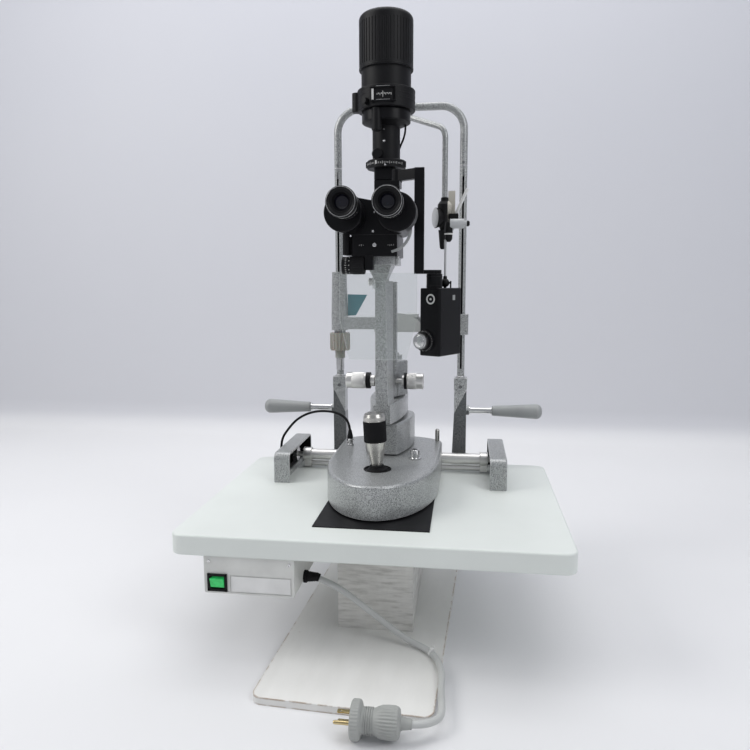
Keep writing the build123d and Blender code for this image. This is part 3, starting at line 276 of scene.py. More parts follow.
def enamel(name="black_enamel", base=(0.004, 0.004, 0.005), gloss=0.30, relief=0.05):
    """Black stove enamel: slight orange peel, dust in the film and greyer edges as a painted highlight."""
    m = Material(name)
    dust = m.noise(60, 6)
    peel = m.noise(1100, 2)
    shade = m.mix(m.ramp(dust, [(0.45, 0.0), (0.85, 0.5)]), base, tuple(c * 1.8 + 0.001 for c in base))
    # Painted highlight: the edges are lightened towards grey.
    edges = m.edge_mask(0.0012, 0.98, 0.82)
    m.color(m.mix(m.math("MULTIPLY", edges, 0.35), shade, (0.06, 0.06, 0.063)))
    m.rough(dust, gloss - 0.06, gloss + 0.10)
    m.shader.inputs["Specular IOR Level"].default_value = 0.2
    m.surface(peel, relief, 0.0002, 0.0006)
    return m.material


def plastic(name, base, gloss=0.42, grain=900, relief=0.18):
    """Moulded plastic with a fine spark-eroded grain and slight shade changes."""
    m = Material(name)
    field = m.noise(20, 4)
    texture = m.noise(grain, 2)
    m.color(m.mix(m.ramp(field, [(0.35, 0.0), (0.7, 1.0)]), base, tuple(c * 0.86 for c in base)))
    m.rough(field, gloss - 0.05, gloss + 0.08)
    if max(base) < 0.02:
        m.shader.inputs["Specular IOR Level"].default_value = 0.2
    m.surface(texture, relief, 0.0002, 0.0007)
    return m.material


def rubber(name="rubber", base=(0.007, 0.007, 0.008), gloss=0.62):
    m = Material(name)
    bloom = m.noise(35, 5)
    pores = m.noise(1300, 2)
    m.color(m.mix(m.ramp(bloom, [(0.4, 0.0), (0.8, 0.6)]), base, tuple(c * 1.9 + 0.006 for c in base)))
    m.rough(bloom, gloss - 0.08, gloss + 0.12)
    m.shader.inputs["Specular IOR Level"].default_value = 0.18
    m.surface(pores, 0.25, 0.0002, 0.0004)
    return m.material


def metal(name, base, gloss, stretch=None, relief=0.05, scale=220):
    """Bare metal; a stretch gives the direction of its turning or brushing marks."""
    m = Material(name)
    marks = m.noise(scale, 6, 0.65, stretch)
    smear = m.noise(24, 4)
    m.color(m.mix(m.ramp(marks, [(0.3, 0.0), (0.75, 0.55)]), base, tuple(c * 0.80 for c in base)))
    m.rough(smear, gloss * 0.75, gloss * 1.3)
    m.set(Metallic=1.0)
    m.surface(marks, relief, 0.0001, 0.0004)
    return m.material


def clear_sheet(name="clear_sheet"):
    """Clear acrylic: see-through faces with a soft reflection, pale edges."""
    m = Material(name)
    m.set(Base_Color=(0.93, 0.96, 0.95, 1.0), Roughness=0.06, IOR=1.49)
    smear = m.noise(18, 4)
    m.rough(smear, 0.03, 0.10)
    clear = m.node("ShaderNodeBsdfTransparent")
    clear.inputs["Color"].default_value = (0.955, 0.965, 0.96, 1.0)
    facing = m.node("ShaderNodeLayerWeight")
    facing.inputs["Blend"].default_value = 0.18
    lift = m.math("ADD", m.math("MULTIPLY", facing.outputs["Fresnel"], 0.55), 0.05)
    edges = m.edge_mask(0.0009, 0.99, 0.80)
    share = m.math("MAXIMUM", lift, m.math("MULTIPLY", edges, 0.55))
    mixer = m.node("ShaderNodeMixShader")
    m.link(share, mixer.inputs[0])
    m.link(clear.outputs[0], mixer.inputs[1])
    m.link(m.shader.outputs[0], mixer.inputs[2])
    m.link(mixer.outputs[0], m.out.inputs["Surface"])
    return m.material


def lens_glass(name="lens_glass"):
    """Coated eyepiece glass over a dark tube."""
    m = Material(name)
    tint = m.noise(40, 2)
    m.color(m.mix(m.ramp(tint, [(0.3, 0.0), (0.7, 1.0)]), (0.004, 0.005, 0.010), (0.010, 0.008, 0.016)))
    m.set(Roughness=0.03, IOR=1.45)
    return m.material


def glowing_rocker(name="rocker_green"):
    m = Material(name)
    spread = m.noise(160, 3)
    shade = m.mix(m.ramp(spread, [(0.3, 0.0), (0.7, 1.0)]), (0.02, 0.34, 0.08), (0.03, 0.52, 0.13))
    m.color(shade)
    m.link(shade, m.shader.inputs["Emission Color"])
    m.set(Emission_Strength=0.35, Roughness=0.25)
    m.surface(None, edge=0.0008)
    return m.material


def translucent(name, base, gloss=0.3):
    m = Material(name)
    cloud = m.noise(70, 4)
    m.color(m.mix(m.ramp(cloud, [(0.3, 0.0), (0.7, 1.0)]), base, tuple(c * 0.82 for c in base)))
    m.rough(cloud, gloss - 0.08, gloss + 0.1)
    m.shader.inputs["Transmission Weight"].default_value = 0.35
    m.shader.inputs["Subsurface Weight"].default_value = 0.15
    m.surface(cloud, 0.1, 0.0002, 0.0006)
    return m.material


MAT = {
    "hammertone": hammertone(),
    # A darker copy of the hammertone: painted shade on the lower headrest legs; also the headrest screws'
    # colour.
    "hammertone_dark_and_painted_shade": hammertone("hammertone_dark_and_painted_shade", (0.11, 0.115, 0.118)),
    "laminate": laminate(),
    "board": painted_board(),
    "block": painted_block(),
    "case_white": plastic("case_white", (0.70, 0.705, 0.68), 0.40, 600, 0.3),
    "enamel": enamel(),
    "enamel_matt": enamel("black_crackle", (0.005, 0.005, 0.006), 0.46, 0.30),
    "plastic_black": plastic("plastic_black", (0.006, 0.006, 0.007), 0.45),
    "plastic_grey": plastic("plastic_grey", (0.33, 0.34, 0.34), 0.40),
    "plastic_plug": plastic("plastic_plug", (0.38, 0.39, 0.375), 0.50),
    "plastic_cord": plastic("plastic_cord", (0.55, 0.56, 0.55), 0.42),
    "plastic_cream": plastic("plastic_cream", (0.62, 0.59, 0.52), 0.4),
    "grey_light": plastic("grey_light", (0.50, 0.51, 0.52), 0.35),
    # A lighter copy of the hammertone: painted highlight.
    "hammertone_painted_highlight": hammertone("hammertone_painted_highlight", (0.42, 0.43, 0.43)),
    "plastic_white": plastic("plastic_white", (0.80, 0.80, 0.79), 0.35),
    "plastic_teal": plastic("plastic_teal", (0.018, 0.16, 0.20), 0.35),
    "cup_grey": plastic("cup_grey", (0.40, 0.41, 0.40), 0.38),
    "rubber": rubber(),
    "rubber_band": rubber("rubber_band", (0.004, 0.004, 0.005), 0.5),
    "chrome": metal("chrome", (0.72, 0.72, 0.72), 0.11),
    "steel_x": metal("steel_turned_x", (0.78, 0.77, 0.75), 0.34, (9, 0.4, 0.4)),
    "steel_z": metal("steel_turned_z", (0.56, 0.55, 0.52), 0.27, (0.4, 0.4, 9)),
    "steel": metal("steel_plain", (0.56, 0.56, 0.56), 0.28),
    "brass": metal("brass", (0.62, 0.50, 0.27), 0.24),
    "iron": plastic("iron", (0.05, 0.045, 0.04), 0.6),
    "mirror": metal("mirror", (0.88, 0.89, 0.90), 0.04),
    "clear": clear_sheet(),
    "lens": lens_glass(),
    "rocker": glowing_rocker(),
    "knob_clear": translucent("knob_clear", (0.50, 0.49, 0.44)),
    "bulb": translucent("bulb_glass", (0.85, 0.83, 0.75), 0.15),
    "mark_white": plastic("mark_white", (0.72, 0.72, 0.70), 0.5),
}

NODE_MATERIAL = {
    "base_board": "board", "support_block": "block", "tabletop": "laminate", "psu_case": "case_white",
    "psu_transformer": "iron", "power_rocker": "rocker", "mains_gland": "rubber",
    "glide_plate": "plastic_black", "rail_cover_left": "hammertone", "rail_cover_right": "hammertone",
    "gear_racks": "steel", "axle": "steel_x", "pinions": "steel", "carriage_frame": "steel_x",
    "base_casting": "hammertone", "base_sockets": "chrome", "lock_screw": "steel_z", "joystick_gimbal": "steel",
    "joystick_stick": "rubber", "joystick_grip": "steel_z", "lift_pedestal": "hammertone",
    "microscope_arm": "hammertone", "microscope_body": "enamel", "breath_shield": "clear",
    "shield_screw": "steel_x", "magnification_knob": "plastic_black", "prism_housing_left": "enamel",
    "prism_housing_right": "enamel", "eyepiece_left": "plastic_black", "eyepiece_right": "plastic_black",
    "lamp_arm": "hammertone", "lamp_mirror": "mirror", "slit_knobs": "steel_x", "tower_flange": "enamel_matt",
    "tower_tube": "enamel_matt", "aperture_ring": "enamel", "tower_drum": "enamel_matt",
    "filter_stud": "plastic_black", "tower_cap": "enamel_matt", "lamp_bulb": "bulb",
    "tonometer_bracket": "enamel", "tonometer_body": "enamel", "tonometer_drum": "steel",
    "tonometer_feeler": "grey_light", "headrest_legs": "hammertone", "upright_left": "hammertone",
    "upright_right": "hammertone", "hoop": "hammertone", "handles": "plastic_grey",
    "chin_carriage": "hammertone", "chin_cup": "cup_grey", "chin_knob": "knob_clear",
    "cover_flap": "plastic_teal", "fixation_clamp": "hammertone", "fixation_arm": "hammertone",
    "fixation_lamp": "plastic_black", "mains_plug": "plastic_plug",
}


def dress_nodes():
    for node, material in NODE_MATERIAL.items():
        mesh = NODES[node].data
        mesh.materials.clear()
        mesh.materials.append(MAT[material])
        for polygon in mesh.polygons:
            polygon.material_index = 0


def paint(node, material, wanted):
    """Another material on the faces of a node that a test picks out by centre (mm) and normal."""
    mesh = NODES[node].data
    place = NODES[node].matrix_world
    mesh.materials.append(MAT[material])
    for polygon in mesh.polygons:
        if wanted(place @ polygon.center / MM, polygon.normal):
            polygon.material_index = len(mesh.materials) - 1


def round_axis_x(centre, y, z):
    """Distance of a face centre from an axis along X."""
    return math.hypot(centre.y - y, centre.z - z)


def dress_details():
    """Two-tone CAD nodes: black rings, insides painted black as painted shade, light fittings, and a lighter
    and a darker band on the headrest legs as painted highlight and painted shade.
    """
    knob = middle("slit_knobs") / MM
    for low_x, high_x in ((-41.2, -33.8), (23.8, 28.7)):
        paint("slit_knobs", "plastic_black", lambda c, n, a=low_x, b=high_x: (
            a < c.x < b and round_axis_x(c, knob.y, knob.z) > 10.4))
    # Painted shade: the insides of the rail covers are painted black.
    for node, side in (("rail_cover_left", 1), ("rail_cover_right", -1)):
        box_low, box_high = low(node) / MM, high(node) / MM
        wall = 3.9
        paint(node, "plastic_black", lambda c, n, a=box_low, b=box_high, s=side: (
            (a.x + wall < c.x < b.x - wall or n.x * s > 0.9) and c.z < b.z - wall
            and a.y + wall < c.y < b.y - wall))
    paint("joystick_grip", "rubber_band", lambda c, n: 58.4 < stick_height(c) < 91.3)
    # Painted shade: the bores of the uprights are painted black.
    for node in ("upright_left", "upright_right"):
        middle_x = middle(node).x / MM
        paint(node, "plastic_black", lambda c, n, x=middle_x: math.hypot(c.x - x, c.y - HEAD_Y / MM) < 5.2)
    # Painted highlight and painted shade: a lighter band high on the headrest legs and darker lower legs, for
    # light falling on and away from their flaring faces.
    paint("headrest_legs", "hammertone_painted_highlight", lambda c, n: T + 101 < c.z < T + 140)
    paint("headrest_legs", "hammertone_dark_and_painted_shade", lambda c, n: c.z <= T + 101)
    paint("handles", "chrome", lambda c, n: round_axis_x(c, HEAD_Y / MM, T + 100) < 6.3 and n.x ** 2 < 0.5)
    paint("lamp_arm", "enamel", lambda c, n: c.z > T + 503)
    paint("fixation_lamp", "plastic_cream", lambda c, n: c.x > 92.6 and c.z > T + 461.2)
    paint("tonometer_feeler", "plastic_black", lambda c, n: c.z < T + 350)
    paint("psu_case", "plastic_black", lambda c, n: (
        -222 < c.x < -192 and c.y < -189 and 105.5 < c.z < 130.5 and c.y < middle("psu_case").y / MM))


def stick_height(centre):
    """How far up the leaned joystick a face centre lies."""
    return ((STICK.inverted() @ (centre * MM)) / MM).z


# ---------- mesh helpers
def add_piece(name, mesh, material, body):
    """Links a finished mesh, gives it its material and hangs it on its body."""
    piece = bpy.data.objects.new(name, mesh)
    bpy.context.scene.collection.objects.link(piece)
    mesh.materials.append(MAT[material])
    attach(piece, body)
    return piece


def finish_mesh(name, build, place=None, smooth_angle=35):
    """Turns a bmesh into a mesh with clean normals, smooth where its faces turn gently."""
    bmesh.ops.remove_doubles(build, verts=build.verts, dist=1e-7)
    bmesh.ops.recalc_face_normals(build, faces=build.faces)
    if place is not None:
        build.transform(place)
    for face in build.faces:
        face.smooth = True
    for edge in build.edges:
        if len(edge.link_faces) == 2 and edge.calc_face_angle(0) > math.radians(smooth_angle):
            edge.smooth = False
    mesh = bpy.data.meshes.new(name)
    build.to_mesh(mesh)
    build.free()
    return mesh


def add_built(name, build, material, body):
    return add_piece(name, finish_mesh(name, build), material, body)


def facing(origin, direction, up=(0, 0, 1)):
    """Placement whose local +Z points along direction."""
    z_axis = Vector(direction).normalized()
    side = Vector(up).cross(z_axis)
    if side.length < 1e-4:
        side = Vector((1, 0, 0))
    side.normalize()
    top = z_axis.cross(side)
    turn = Matrix((side, top, z_axis)).transposed().to_4x4()
    return Matrix.Translation(origin) @ turn


def add_lathe(build, profile, place=None, steps=72, closed=False, wave=None):
    """Revolves (radius, height) points in millimetres; wave() adds ribs to the radius."""
    place = place or Matrix.Identity(4)
    rings = []
    for radius, height in profile:
        ring = []
        for i in range(steps):
            angle = 2 * math.pi * i / steps
            grow = wave(i, steps, radius, height) if wave else 0.0
            r = (radius + grow) * MM
            point = Vector((r * math.cos(angle), r * math.sin(angle), height * MM))
            ring.append(build.verts.new(place @ point))
        rings.append(ring)
    pairs = list(zip(rings, rings[1:]))
    if closed:
        pairs.append((rings[-1], rings[0]))
    for lower, upper in pairs:
        for i in range(steps):
            j = (i + 1) % steps
            build.faces.new((lower[i], lower[j], upper[j], upper[i]))
    if not closed:
        build.faces.new(rings[0][::-1])
        build.faces.new(rings[-1])


def lathe(name, profile, place, material, body, steps=72, closed=False, wave=None):
    build = bmesh.new()
    add_lathe(build, profile, place, steps, closed, wave)
    return add_piece(name, finish_mesh(name, build), material, body)


def knurl(count, depth, beyond):
    """A wave for add_lathe: ridges on the points whose radius is over a limit."""
    def wave(i, steps, radius, _height):
        return depth * math.cos(2 * math.pi * i * count / steps) if radius > beyond else 0.0

    return wave


def add_box(build, centre, size, place=None, bevel=0.4):
    """A box in millimetres with bevelled edges, round a centre given in the placement's own axes."""
    made = bmesh.ops.create_cube(build, size=1.0)
    verts = made["verts"]
    place = place or Matrix.Identity(4)
    for vert in verts:
        vert.co = Vector((vert.co.x * size[0] + centre[0], vert.co.y * size[1] + centre[1],
                          vert.co.z * size[2] + centre[2])) * MM
    edges = list({edge for vert in verts for edge in vert.link_edges})
    bevel = min(bevel, 0.45 * min(size))
    made = bmesh.ops.bevel(build, geom=edges, offset=bevel * MM, segments=2, affect="EDGES", profile=0.6)
    group = {vert for vert in verts if vert.is_valid}
    group.update(vert for face in made["faces"] for vert in face.verts)
    todo = list(group)
    while todo:
        vert = todo.pop()
        for edge in vert.link_edges:
            other = edge.other_vert(vert)
            if other not in group:
                group.add(other)
                todo.append(other)
    for vert in group:
        vert.co = place @ vert.co


def box_piece(name, centre, size, place, material, body, bevel=0.4):
    build = bmesh.new()
    add_box(build, centre, size, place, bevel)
    return add_piece(name, finish_mesh(name, build), material, body)


def add_ring_ticks(build, place, radius, height, count, size, start=0.0, span=360.0, long_every=0):
    """Raised tick marks on a round wall; size is (width, stand-off, length)."""
    steps = count if span >= 360 else count - 1
    for i in range(count):
        angle = math.radians(start + span * i / steps)
        length = size[2] * (1.6 if long_every and i % long_every == 0 else 1.0)
        mark = place @ Matrix.Rotation(angle, 4, "Z") @ Matrix.Translation((radius * MM, 0, height * MM))
        add_box(build, (0, 0, 0), (size[1], size[0], length), mark, 0.05)


def screw_head(build, place, radius, height):
    """Cap screw: round head with a sunk middle, standing on the placement's plane."""
    socket = radius * 0.5
    profile = [(radius, -0.4), (radius, height * 0.75), (radius * 0.86, height), (socket, height),
               (socket * 0.98, height * 0.35), (0.02, height * 0.30)]
    add_lathe(build, profile, place, 30)


def tube_piece(name, points, diameter, material, body):
    """A bent rod or lead as a smooth curve through given control points."""
    curve = bpy.data.curves.new(name, "CURVE")
    curve.dimensions = "3D"
    curve.bevel_depth = diameter / 2
    curve.bevel_resolution = 5
    curve.use_fill_caps = True
    spline = curve.splines.new("NURBS")
    spline.points.add(len(points) - 1)
    for point, place in zip(spline.points, points):
        point.co = (*place, 1.0)
    spline.order_u = 3
    spline.use_endpoint_u = True
    spline.resolution_u = 10
    piece = bpy.data.objects.new(name, curve)
    bpy.context.scene.collection.objects.link(piece)
    curve.materials.append(MAT[material])
    if body:
        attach(piece, body)
    return piece


# ---------- cords
def route(points):
    """Millimetres over the floor to metres."""
    return [Vector(point) * MM for point in points]


MAINS_ROUTE = [
    (-76.0, -150.0, 105.5), (-52.0, -149.5, 96.5), (-22.0, -148.5, 74.5), (10.0, -146.5, 49.0),
    (38.0, -146.5, 27.5), (60.0, -150.0, 16.6), (80.0, -161.0, 15.0), (93.0, -179.0, 14.8),
    (100.5, -201.0, 14.8), (103.5, -228.0, 14.8), (103.0, -256.0, 14.8), (105.5, -282.0, 14.8),
    (105.5, -303.0, 15.6), (99.6, -317.0, 17.6), (88.6, -328.0, 20.2), (74.0, -334.0, 22.4),
    (60.0, -334.2, 22.4),
]
LAMP_FRONT_ROUTE = [
    (-75.0, 107.0, T + 80.0), (-76.5, 107.8, T + 91.0), (-83.0, 110.0, T + 102.0), (-98.0, 114.0, T + 110.5),
    (-120.0, 119.0, T + 113.0), (-145.0, 124.5, T + 110.0), (-168.0, 129.5, T + 100.5),
    (-188.0, 134.0, T + 85.0), (-202.0, 137.5, T + 66.0),
]
LAMP_REAR_ROUTE = [
    (-202.0, 137.5, T + 66.0), (-209.0, 139.25, T + 56.5), (-212.2, 140.0, T + 36.0), (-212.4, 140.0, T + 8.0),
    (-212.4, 139.6, T - 20.0), (-211.6, 133.0, T - 44.0), (-208.5, 112.0, T - 59.0), (-203.0, 80.0, T - 62.0),
    (-197.0, 54.0, T - 59.0), (-192.0, 30.0, T - 55.0), (-190.0, 9.0, T - 54.0),
]


def spline_points(piece):
    """Points along a curve piece's own line, read from its spline with no bevel."""
    bare = piece.data.copy()
    bare.bevel_depth = 0.0
    holder = bpy.data.objects.new("measure", bare)
    bpy.context.scene.collection.objects.link(holder)
    mesh = bpy.data.meshes.new_from_object(holder.evaluated_get(bpy.context.evaluated_depsgraph_get()))
    points = [vert.co.copy() for vert in mesh.vertices]
    bpy.data.objects.remove(holder)
    return points


def tube_mesh(name, points, diameter, steps=20):
    """A round mesh tube along closely spaced points, with its frame carried along without twist."""
    build = bmesh.new()
    rings = []
    side = None
    for i, point in enumerate(points):
        along = (points[min(i + 1, len(points) - 1)] - points[max(i - 1, 0)]).normalized()
        if side is None:
            side = along.orthogonal().normalized()
        side = (side - along * side.dot(along)).normalized()
        top = along.cross(side)
        ring = []
        for j in range(steps):
            angle = 2 * math.pi * j / steps
            outward = side * math.cos(angle) + top * math.sin(angle)
            ring.append(build.verts.new(point + outward * diameter / 2))
        rings.append(ring)
    for lower, upper in zip(rings, rings[1:]):
        for j in range(steps):
            k = (j + 1) % steps
            build.faces.new((lower[j], lower[k], upper[k], upper[j]))
    build.faces.new(list(reversed(rings[0])))
    build.faces.new(rings[-1])
    return finish_mesh(name, build)


def lamp_lead(name, points_mm, node):
    """One half of the lamp lead, a curved tube between the two bodies that it joins."""
    guide = tube_piece(name + "_guide", route(points_mm), 0.0, "rubber", None)
    points = spline_points(guide)
    bpy.data.objects.remove(guide)
    diameter = 0.0044
    piece = bpy.data.objects.new(name, tube_mesh(name, points, diameter))
    bpy.context.scene.collection.objects.link(piece)
    piece.data.materials.append(MAT["rubber"])
    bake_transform(piece)
    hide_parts(node)


def make_cords():
    plug_bits = make_plug()
    mains = tube_piece("mains_lead", route(MAINS_ROUTE), 0.009, "plastic_cord", "stand")
    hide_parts("mains_cord")
    points = spline_points(mains)
    plug_bits + [make_tie(points)]
    lamp_lead("lamp_lead_front", LAMP_FRONT_ROUTE, "lamp_cable_front")
    lamp_lead("lamp_lead_rear", LAMP_REAR_ROUTE, "lamp_cable_rear")


def make_tie(points):
    """White cable tie round the mains lead where it lies on the board."""
    target = Vector((87.5, -170.0, 14.9)) * MM
    index = min(range(1, len(points) - 1), key=lambda i: (points[i] - target).length)
    along = points[index + 1] - points[index - 1]
    place = facing(points[index], along)
    build = bmesh.new()
    add_lathe(build, [(4.45, -1.6), (5.3, -1.6), (5.3, 1.6), (4.45, 1.6)], place, 40, closed=True)
    add_box(build, (0, 6.2, 0), (4.2, 3.4, 4.6), place, 0.5)
    add_box(build, (2.6, 9.2, 0), (1.0, 5.4, 2.6), place, 0.3)
    return add_built("cord_tie", build, "plastic_white", "stand")


def make_plug():
    """Hospital-grade plug: moulded body with a ribbed waist, round flange, blades and ground pin."""
    end = route(MAINS_ROUTE)[-1]
    place = facing(end, (-1, 0, 0))
    profile = [(4.6, -13), (5.8, -12.5), (7.2, -2), (8.2, 0), (15.2, 1.2), (17.4, 3.2), (18.2, 7), (18.2, 14),
               (17.6, 22), (16.2, 27), (14.4, 30), (14.0, 33), (14.0, 42), (15.5, 45), (20.6, 46.6),
               (22.0, 48.2), (22.3, 50.5), (22.3, 56), (21.4, 57.4), (20.2, 58)]

    def ribs(i, steps, _radius, height):
        """Grip ribs on the bulge and round the rim of the flange."""
        if 4 < height < 26:
            return 0.45 * math.cos(2 * math.pi * i * 30 / steps)
        if 48 < height < 56.5:
            return 0.30 * math.cos(2 * math.pi * i * 36 / steps)
        return 0.0

    body = lathe("plug_body", profile, place, "plastic_plug", "stand", 216, wave=ribs)
    build = bmesh.new()
    for i in range(4):
        centre = 33.5 + 2.6 * i
        below, above = centre - 0.7, centre + 0.7
        add_lathe(build, [(13.6, below), (15.1, below), (15.1, above), (13.6, above)], place, 60, closed=True)
    bands = add_built("plug_waist_ribs", build, "plastic_plug", "stand")
    build = bmesh.new()
    for offset in (-6.4, 6.4):
        add_blade(build, facing(end + Vector((-58, 4.2, offset)) * MM, (-1, 0, 0)))
    ground = facing(end + Vector((-58, -7.5, 0)) * MM, (-1, 0, 0))
    add_lathe(build, [(2.4, -1), (2.4, 18), (1.9, 19.8), (0.9, 20.5)], ground, 28)
    pins = add_built("plug_pins", build, "brass", "stand")
    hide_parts("mains_plug")
    return [body, bands, pins]


def add_blade(build, place):
    """Flat blade with its round hole, as a strip of faces round the hole's ring."""
    half_w, thick, hole_reach = 3.2, 0.75, 4.2
    hole_at, hole_r, steps = 13.0, 1.6, 24
    for side in (-1, 1):
        ring = []
        rim = []
        for i in range(steps):
            angle = 2 * math.pi * i / steps
            c, s = math.cos(angle), math.sin(angle)
            on_hole = Vector((hole_r * c, side * thick, hole_at + hole_r * s)) * MM
            ring.append(build.verts.new(place @ on_hole))
            reach = min(half_w / max(abs(c), 1e-6), hole_reach / max(abs(s), 1e-6))
            on_rim = Vector((reach * c, side * thick, hole_at + reach * s)) * MM
            rim.append(build.verts.new(place @ on_rim))
        for i in range(steps):
            j = (i + 1) % steps
            build.faces.new((ring[i], ring[j], rim[j], rim[i]))
        if side < 0:
            first_ring, first_rim = ring, rim
    for i in range(steps):
        j = (i + 1) % steps
        build.faces.new((first_ring[i], first_ring[j], ring[j], ring[i]))
        build.faces.new((first_rim[i], first_rim[j], rim[j], rim[i]))
    root_long = hole_at - hole_reach
    add_box(build, (0, 0, root_long / 2), (half_w * 2, thick * 2, root_long), place, 0.1)


# ---------- joystick and base
def spot(x, y, z, direction=(0, 0, 1), up=(0, 0, 1)):
    """Placement at a point in millimetres, facing along a direction."""
    return facing(Vector((x, y, z)) * MM, direction, up)


def ring_profile(inner, outer, low_z, high_z, round_off=0.4):
    """Closed section of a flat ring with softened corners."""
    r = round_off
    return [(inner, low_z), (outer - r, low_z), (outer, low_z + r), (outer, high_z - r), (outer - r, high_z),
            (inner + r, high_z), (inner, high_z - r)]


def make_joystick():
    band = [(17.1, 58.8), (17.5, 59.3), (17.5, 90.3), (17.1, 90.9)]
    lathe("joystick_band", band, STICK, "rubber_band", "grip", 360, wave=knurl(60, 0.22, 17.3))
    for name, height in (("joystick_seam_low", 57.6), ("joystick_seam_high", 91.2)):
        lathe(name, ring_profile(15.5, 17.35, height, height + 0.9, 0.2), STICK, "steel_z", "grip",
              closed=True)
    boot = [(10.2, 15.2), (11.8, 15.0), (12.2, 15.8), (12.0, 16.6), (11.2, 17.6), (10.8, 18.4), (11.6, 19.4),
            (10.6, 20.8), (9.6, 21.6)]
    lathe("joystick_boot", boot, STICK, "rubber", "stick")
    hole = spot(INSTR_X / MM, -40, T + 54)
    build = bmesh.new()
    add_lathe(build, ring_profile(19.4, 21.8, -0.2, 0.9), hole, closed=True)
    add_lathe(build, ring_profile(15.4, 19.9, -1.8, -0.8, 0.2), hole, closed=True)
    add_built("joystick_bezel", build, "plastic_black", "base")


def make_base_fittings():
    """Lamp connector with its nuts and boot, and the accessory socket, its dark opening a black disc of painted
    shade.
    """
    plug = spot(-75, 107, T + 54)
    build = bmesh.new()
    add_lathe(build, [(6.4, -0.2), (6.4, 2.6), (5.6, 3.2)], plug, 6)
    add_lathe(build, [(5.2, 3.0), (5.2, 7.8), (4.8, 8.2)], plug, 36)
    add_lathe(build, ring_profile(4.2, 6.0, 9.2, 12.4), plug, 40, closed=True)
    add_built("lamp_connector_nuts", build, "chrome", "base")
    boot = [(4.7, 12.0), (5.2, 12.8), (5.1, 17.0), (4.0, 21.5), (3.1, 26.4), (2.7, 27.5)]
    lathe("lamp_connector_boot", boot, plug, "rubber", "base", 40)
    socket = spot(47, 28, T + 54)
    build = bmesh.new()
    add_lathe(build, ring_profile(6.0, 10.6, -0.2, 2.4), socket, 6, closed=True)
    add_lathe(build, ring_profile(4.6, 7.5, 2.2, 15.4), socket, 48, closed=True)
    for turn in (0.4, 2.5, 4.6):
        side = socket @ Matrix.Rotation(turn, 4, "Z") @ Matrix.Translation((7.2 * MM, 0, 10 * MM))
        add_box(build, (0, 0, 0), (1.6, 3.2, 6.0), side, 0.3)
    add_built("accessory_socket_shell", build, "chrome", "base")
    # Painted shade: a black disc fills the socket's opening.
    lathe("accessory_socket_shade_disc", [(4.5, 13.0), (4.5, 16.15), (0.6, 16.2)], socket, "plastic_black", "base",
          40)


# ---------- knobs and eyepieces
def make_slit_knobs():
    """Fine straight knurling and a ring of marks on both slit-width knobs."""
    axis = middle("slit_knobs") / MM

    for side, x, long in (("left", -44.0, 22.0), ("right", 31.5, 14.0)):
        place = spot(x, axis.y, axis.z, (1 if side == "right" else -1, 0, 0))
        profile = [(13.3, 0.0), (13.85, 0.6), (13.85, long - 0.6), (13.3, long)]
        lathe("slit_knob_knurl_" + side, profile, place, "steel_x", "slit_width",
              384, wave=knurl(48, 0.18, 13.6))
        index = place @ Matrix.Translation((0, 0, -3.2 * MM))
        build = bmesh.new()
        add_ring_ticks(build, index, 13.7, 0.0, 20, (0.5, 0.5, 1.6), long_every=5)
        add_built("slit_knob_scale_" + side, build, "plastic_black",
                  "slit_width")


def make_eyepieces():
    for side in ("left", "right"):
        centre = middle("eyepiece_" + side) / MM
        front = low("eyepiece_" + side).y / MM
        place = spot(centre.x, front, centre.z, (0, -1, 0))
        body = "ocular_" + side
        cup = [(15.4, 0.4), (16.6, 1.6), (18.6, 2.3), (20.3, 1.8), (21.1, 0.2), (21.1, -3.0), (20.4, -4.2),
               (19.0, -4.6), (18.6, -3.0), (16.2, -1.0)]
        lathe("eye_cup_" + side, cup, place, "plastic_black", body, closed=True)
        # Painted highlight: a thin steel ring on the cup's lip stands for the light that the lip catches.
        lathe("eye_cup_highlight_rim_" + side, ring_profile(19.3, 19.9, 2.0, 2.35, 0.1), place, "steel", body,
              closed=True)
        lathe("ocular_rim_" + side, ring_profile(17.0, 20.75, -12.6, -11.2, 0.3), place, "steel", body,
              closed=True)
        dome = [(11.8, -9.0), (11.8, -7.4), (9.5, -6.3), (6.0, -5.4), (2.5, -5.0), (0.3, -4.95)]
        lathe("ocular_lens_" + side, dome, place, "lens", body)
        lathe("ocular_seat_" + side, ring_profile(11.6, 13.8, -10.0, -6.6, 0.4), place, "plastic_black", body,
              closed=True)
        build = bmesh.new()
        add_ring_ticks(build, place, 18.55, -38.5, 9, (0.45, 0.3, 2.2), -145, 110, 4)
        add_built("dioptre_scale_" + side, build, "mark_white", body)

        grip = [(16.9, -35.0), (17.5, -34.4), (17.5, -14.4), (16.9, -13.8)]
        lathe("dioptre_grip_" + side, grip, place, "plastic_black", body,
              320, wave=knurl(40, 0.25, 17.1))


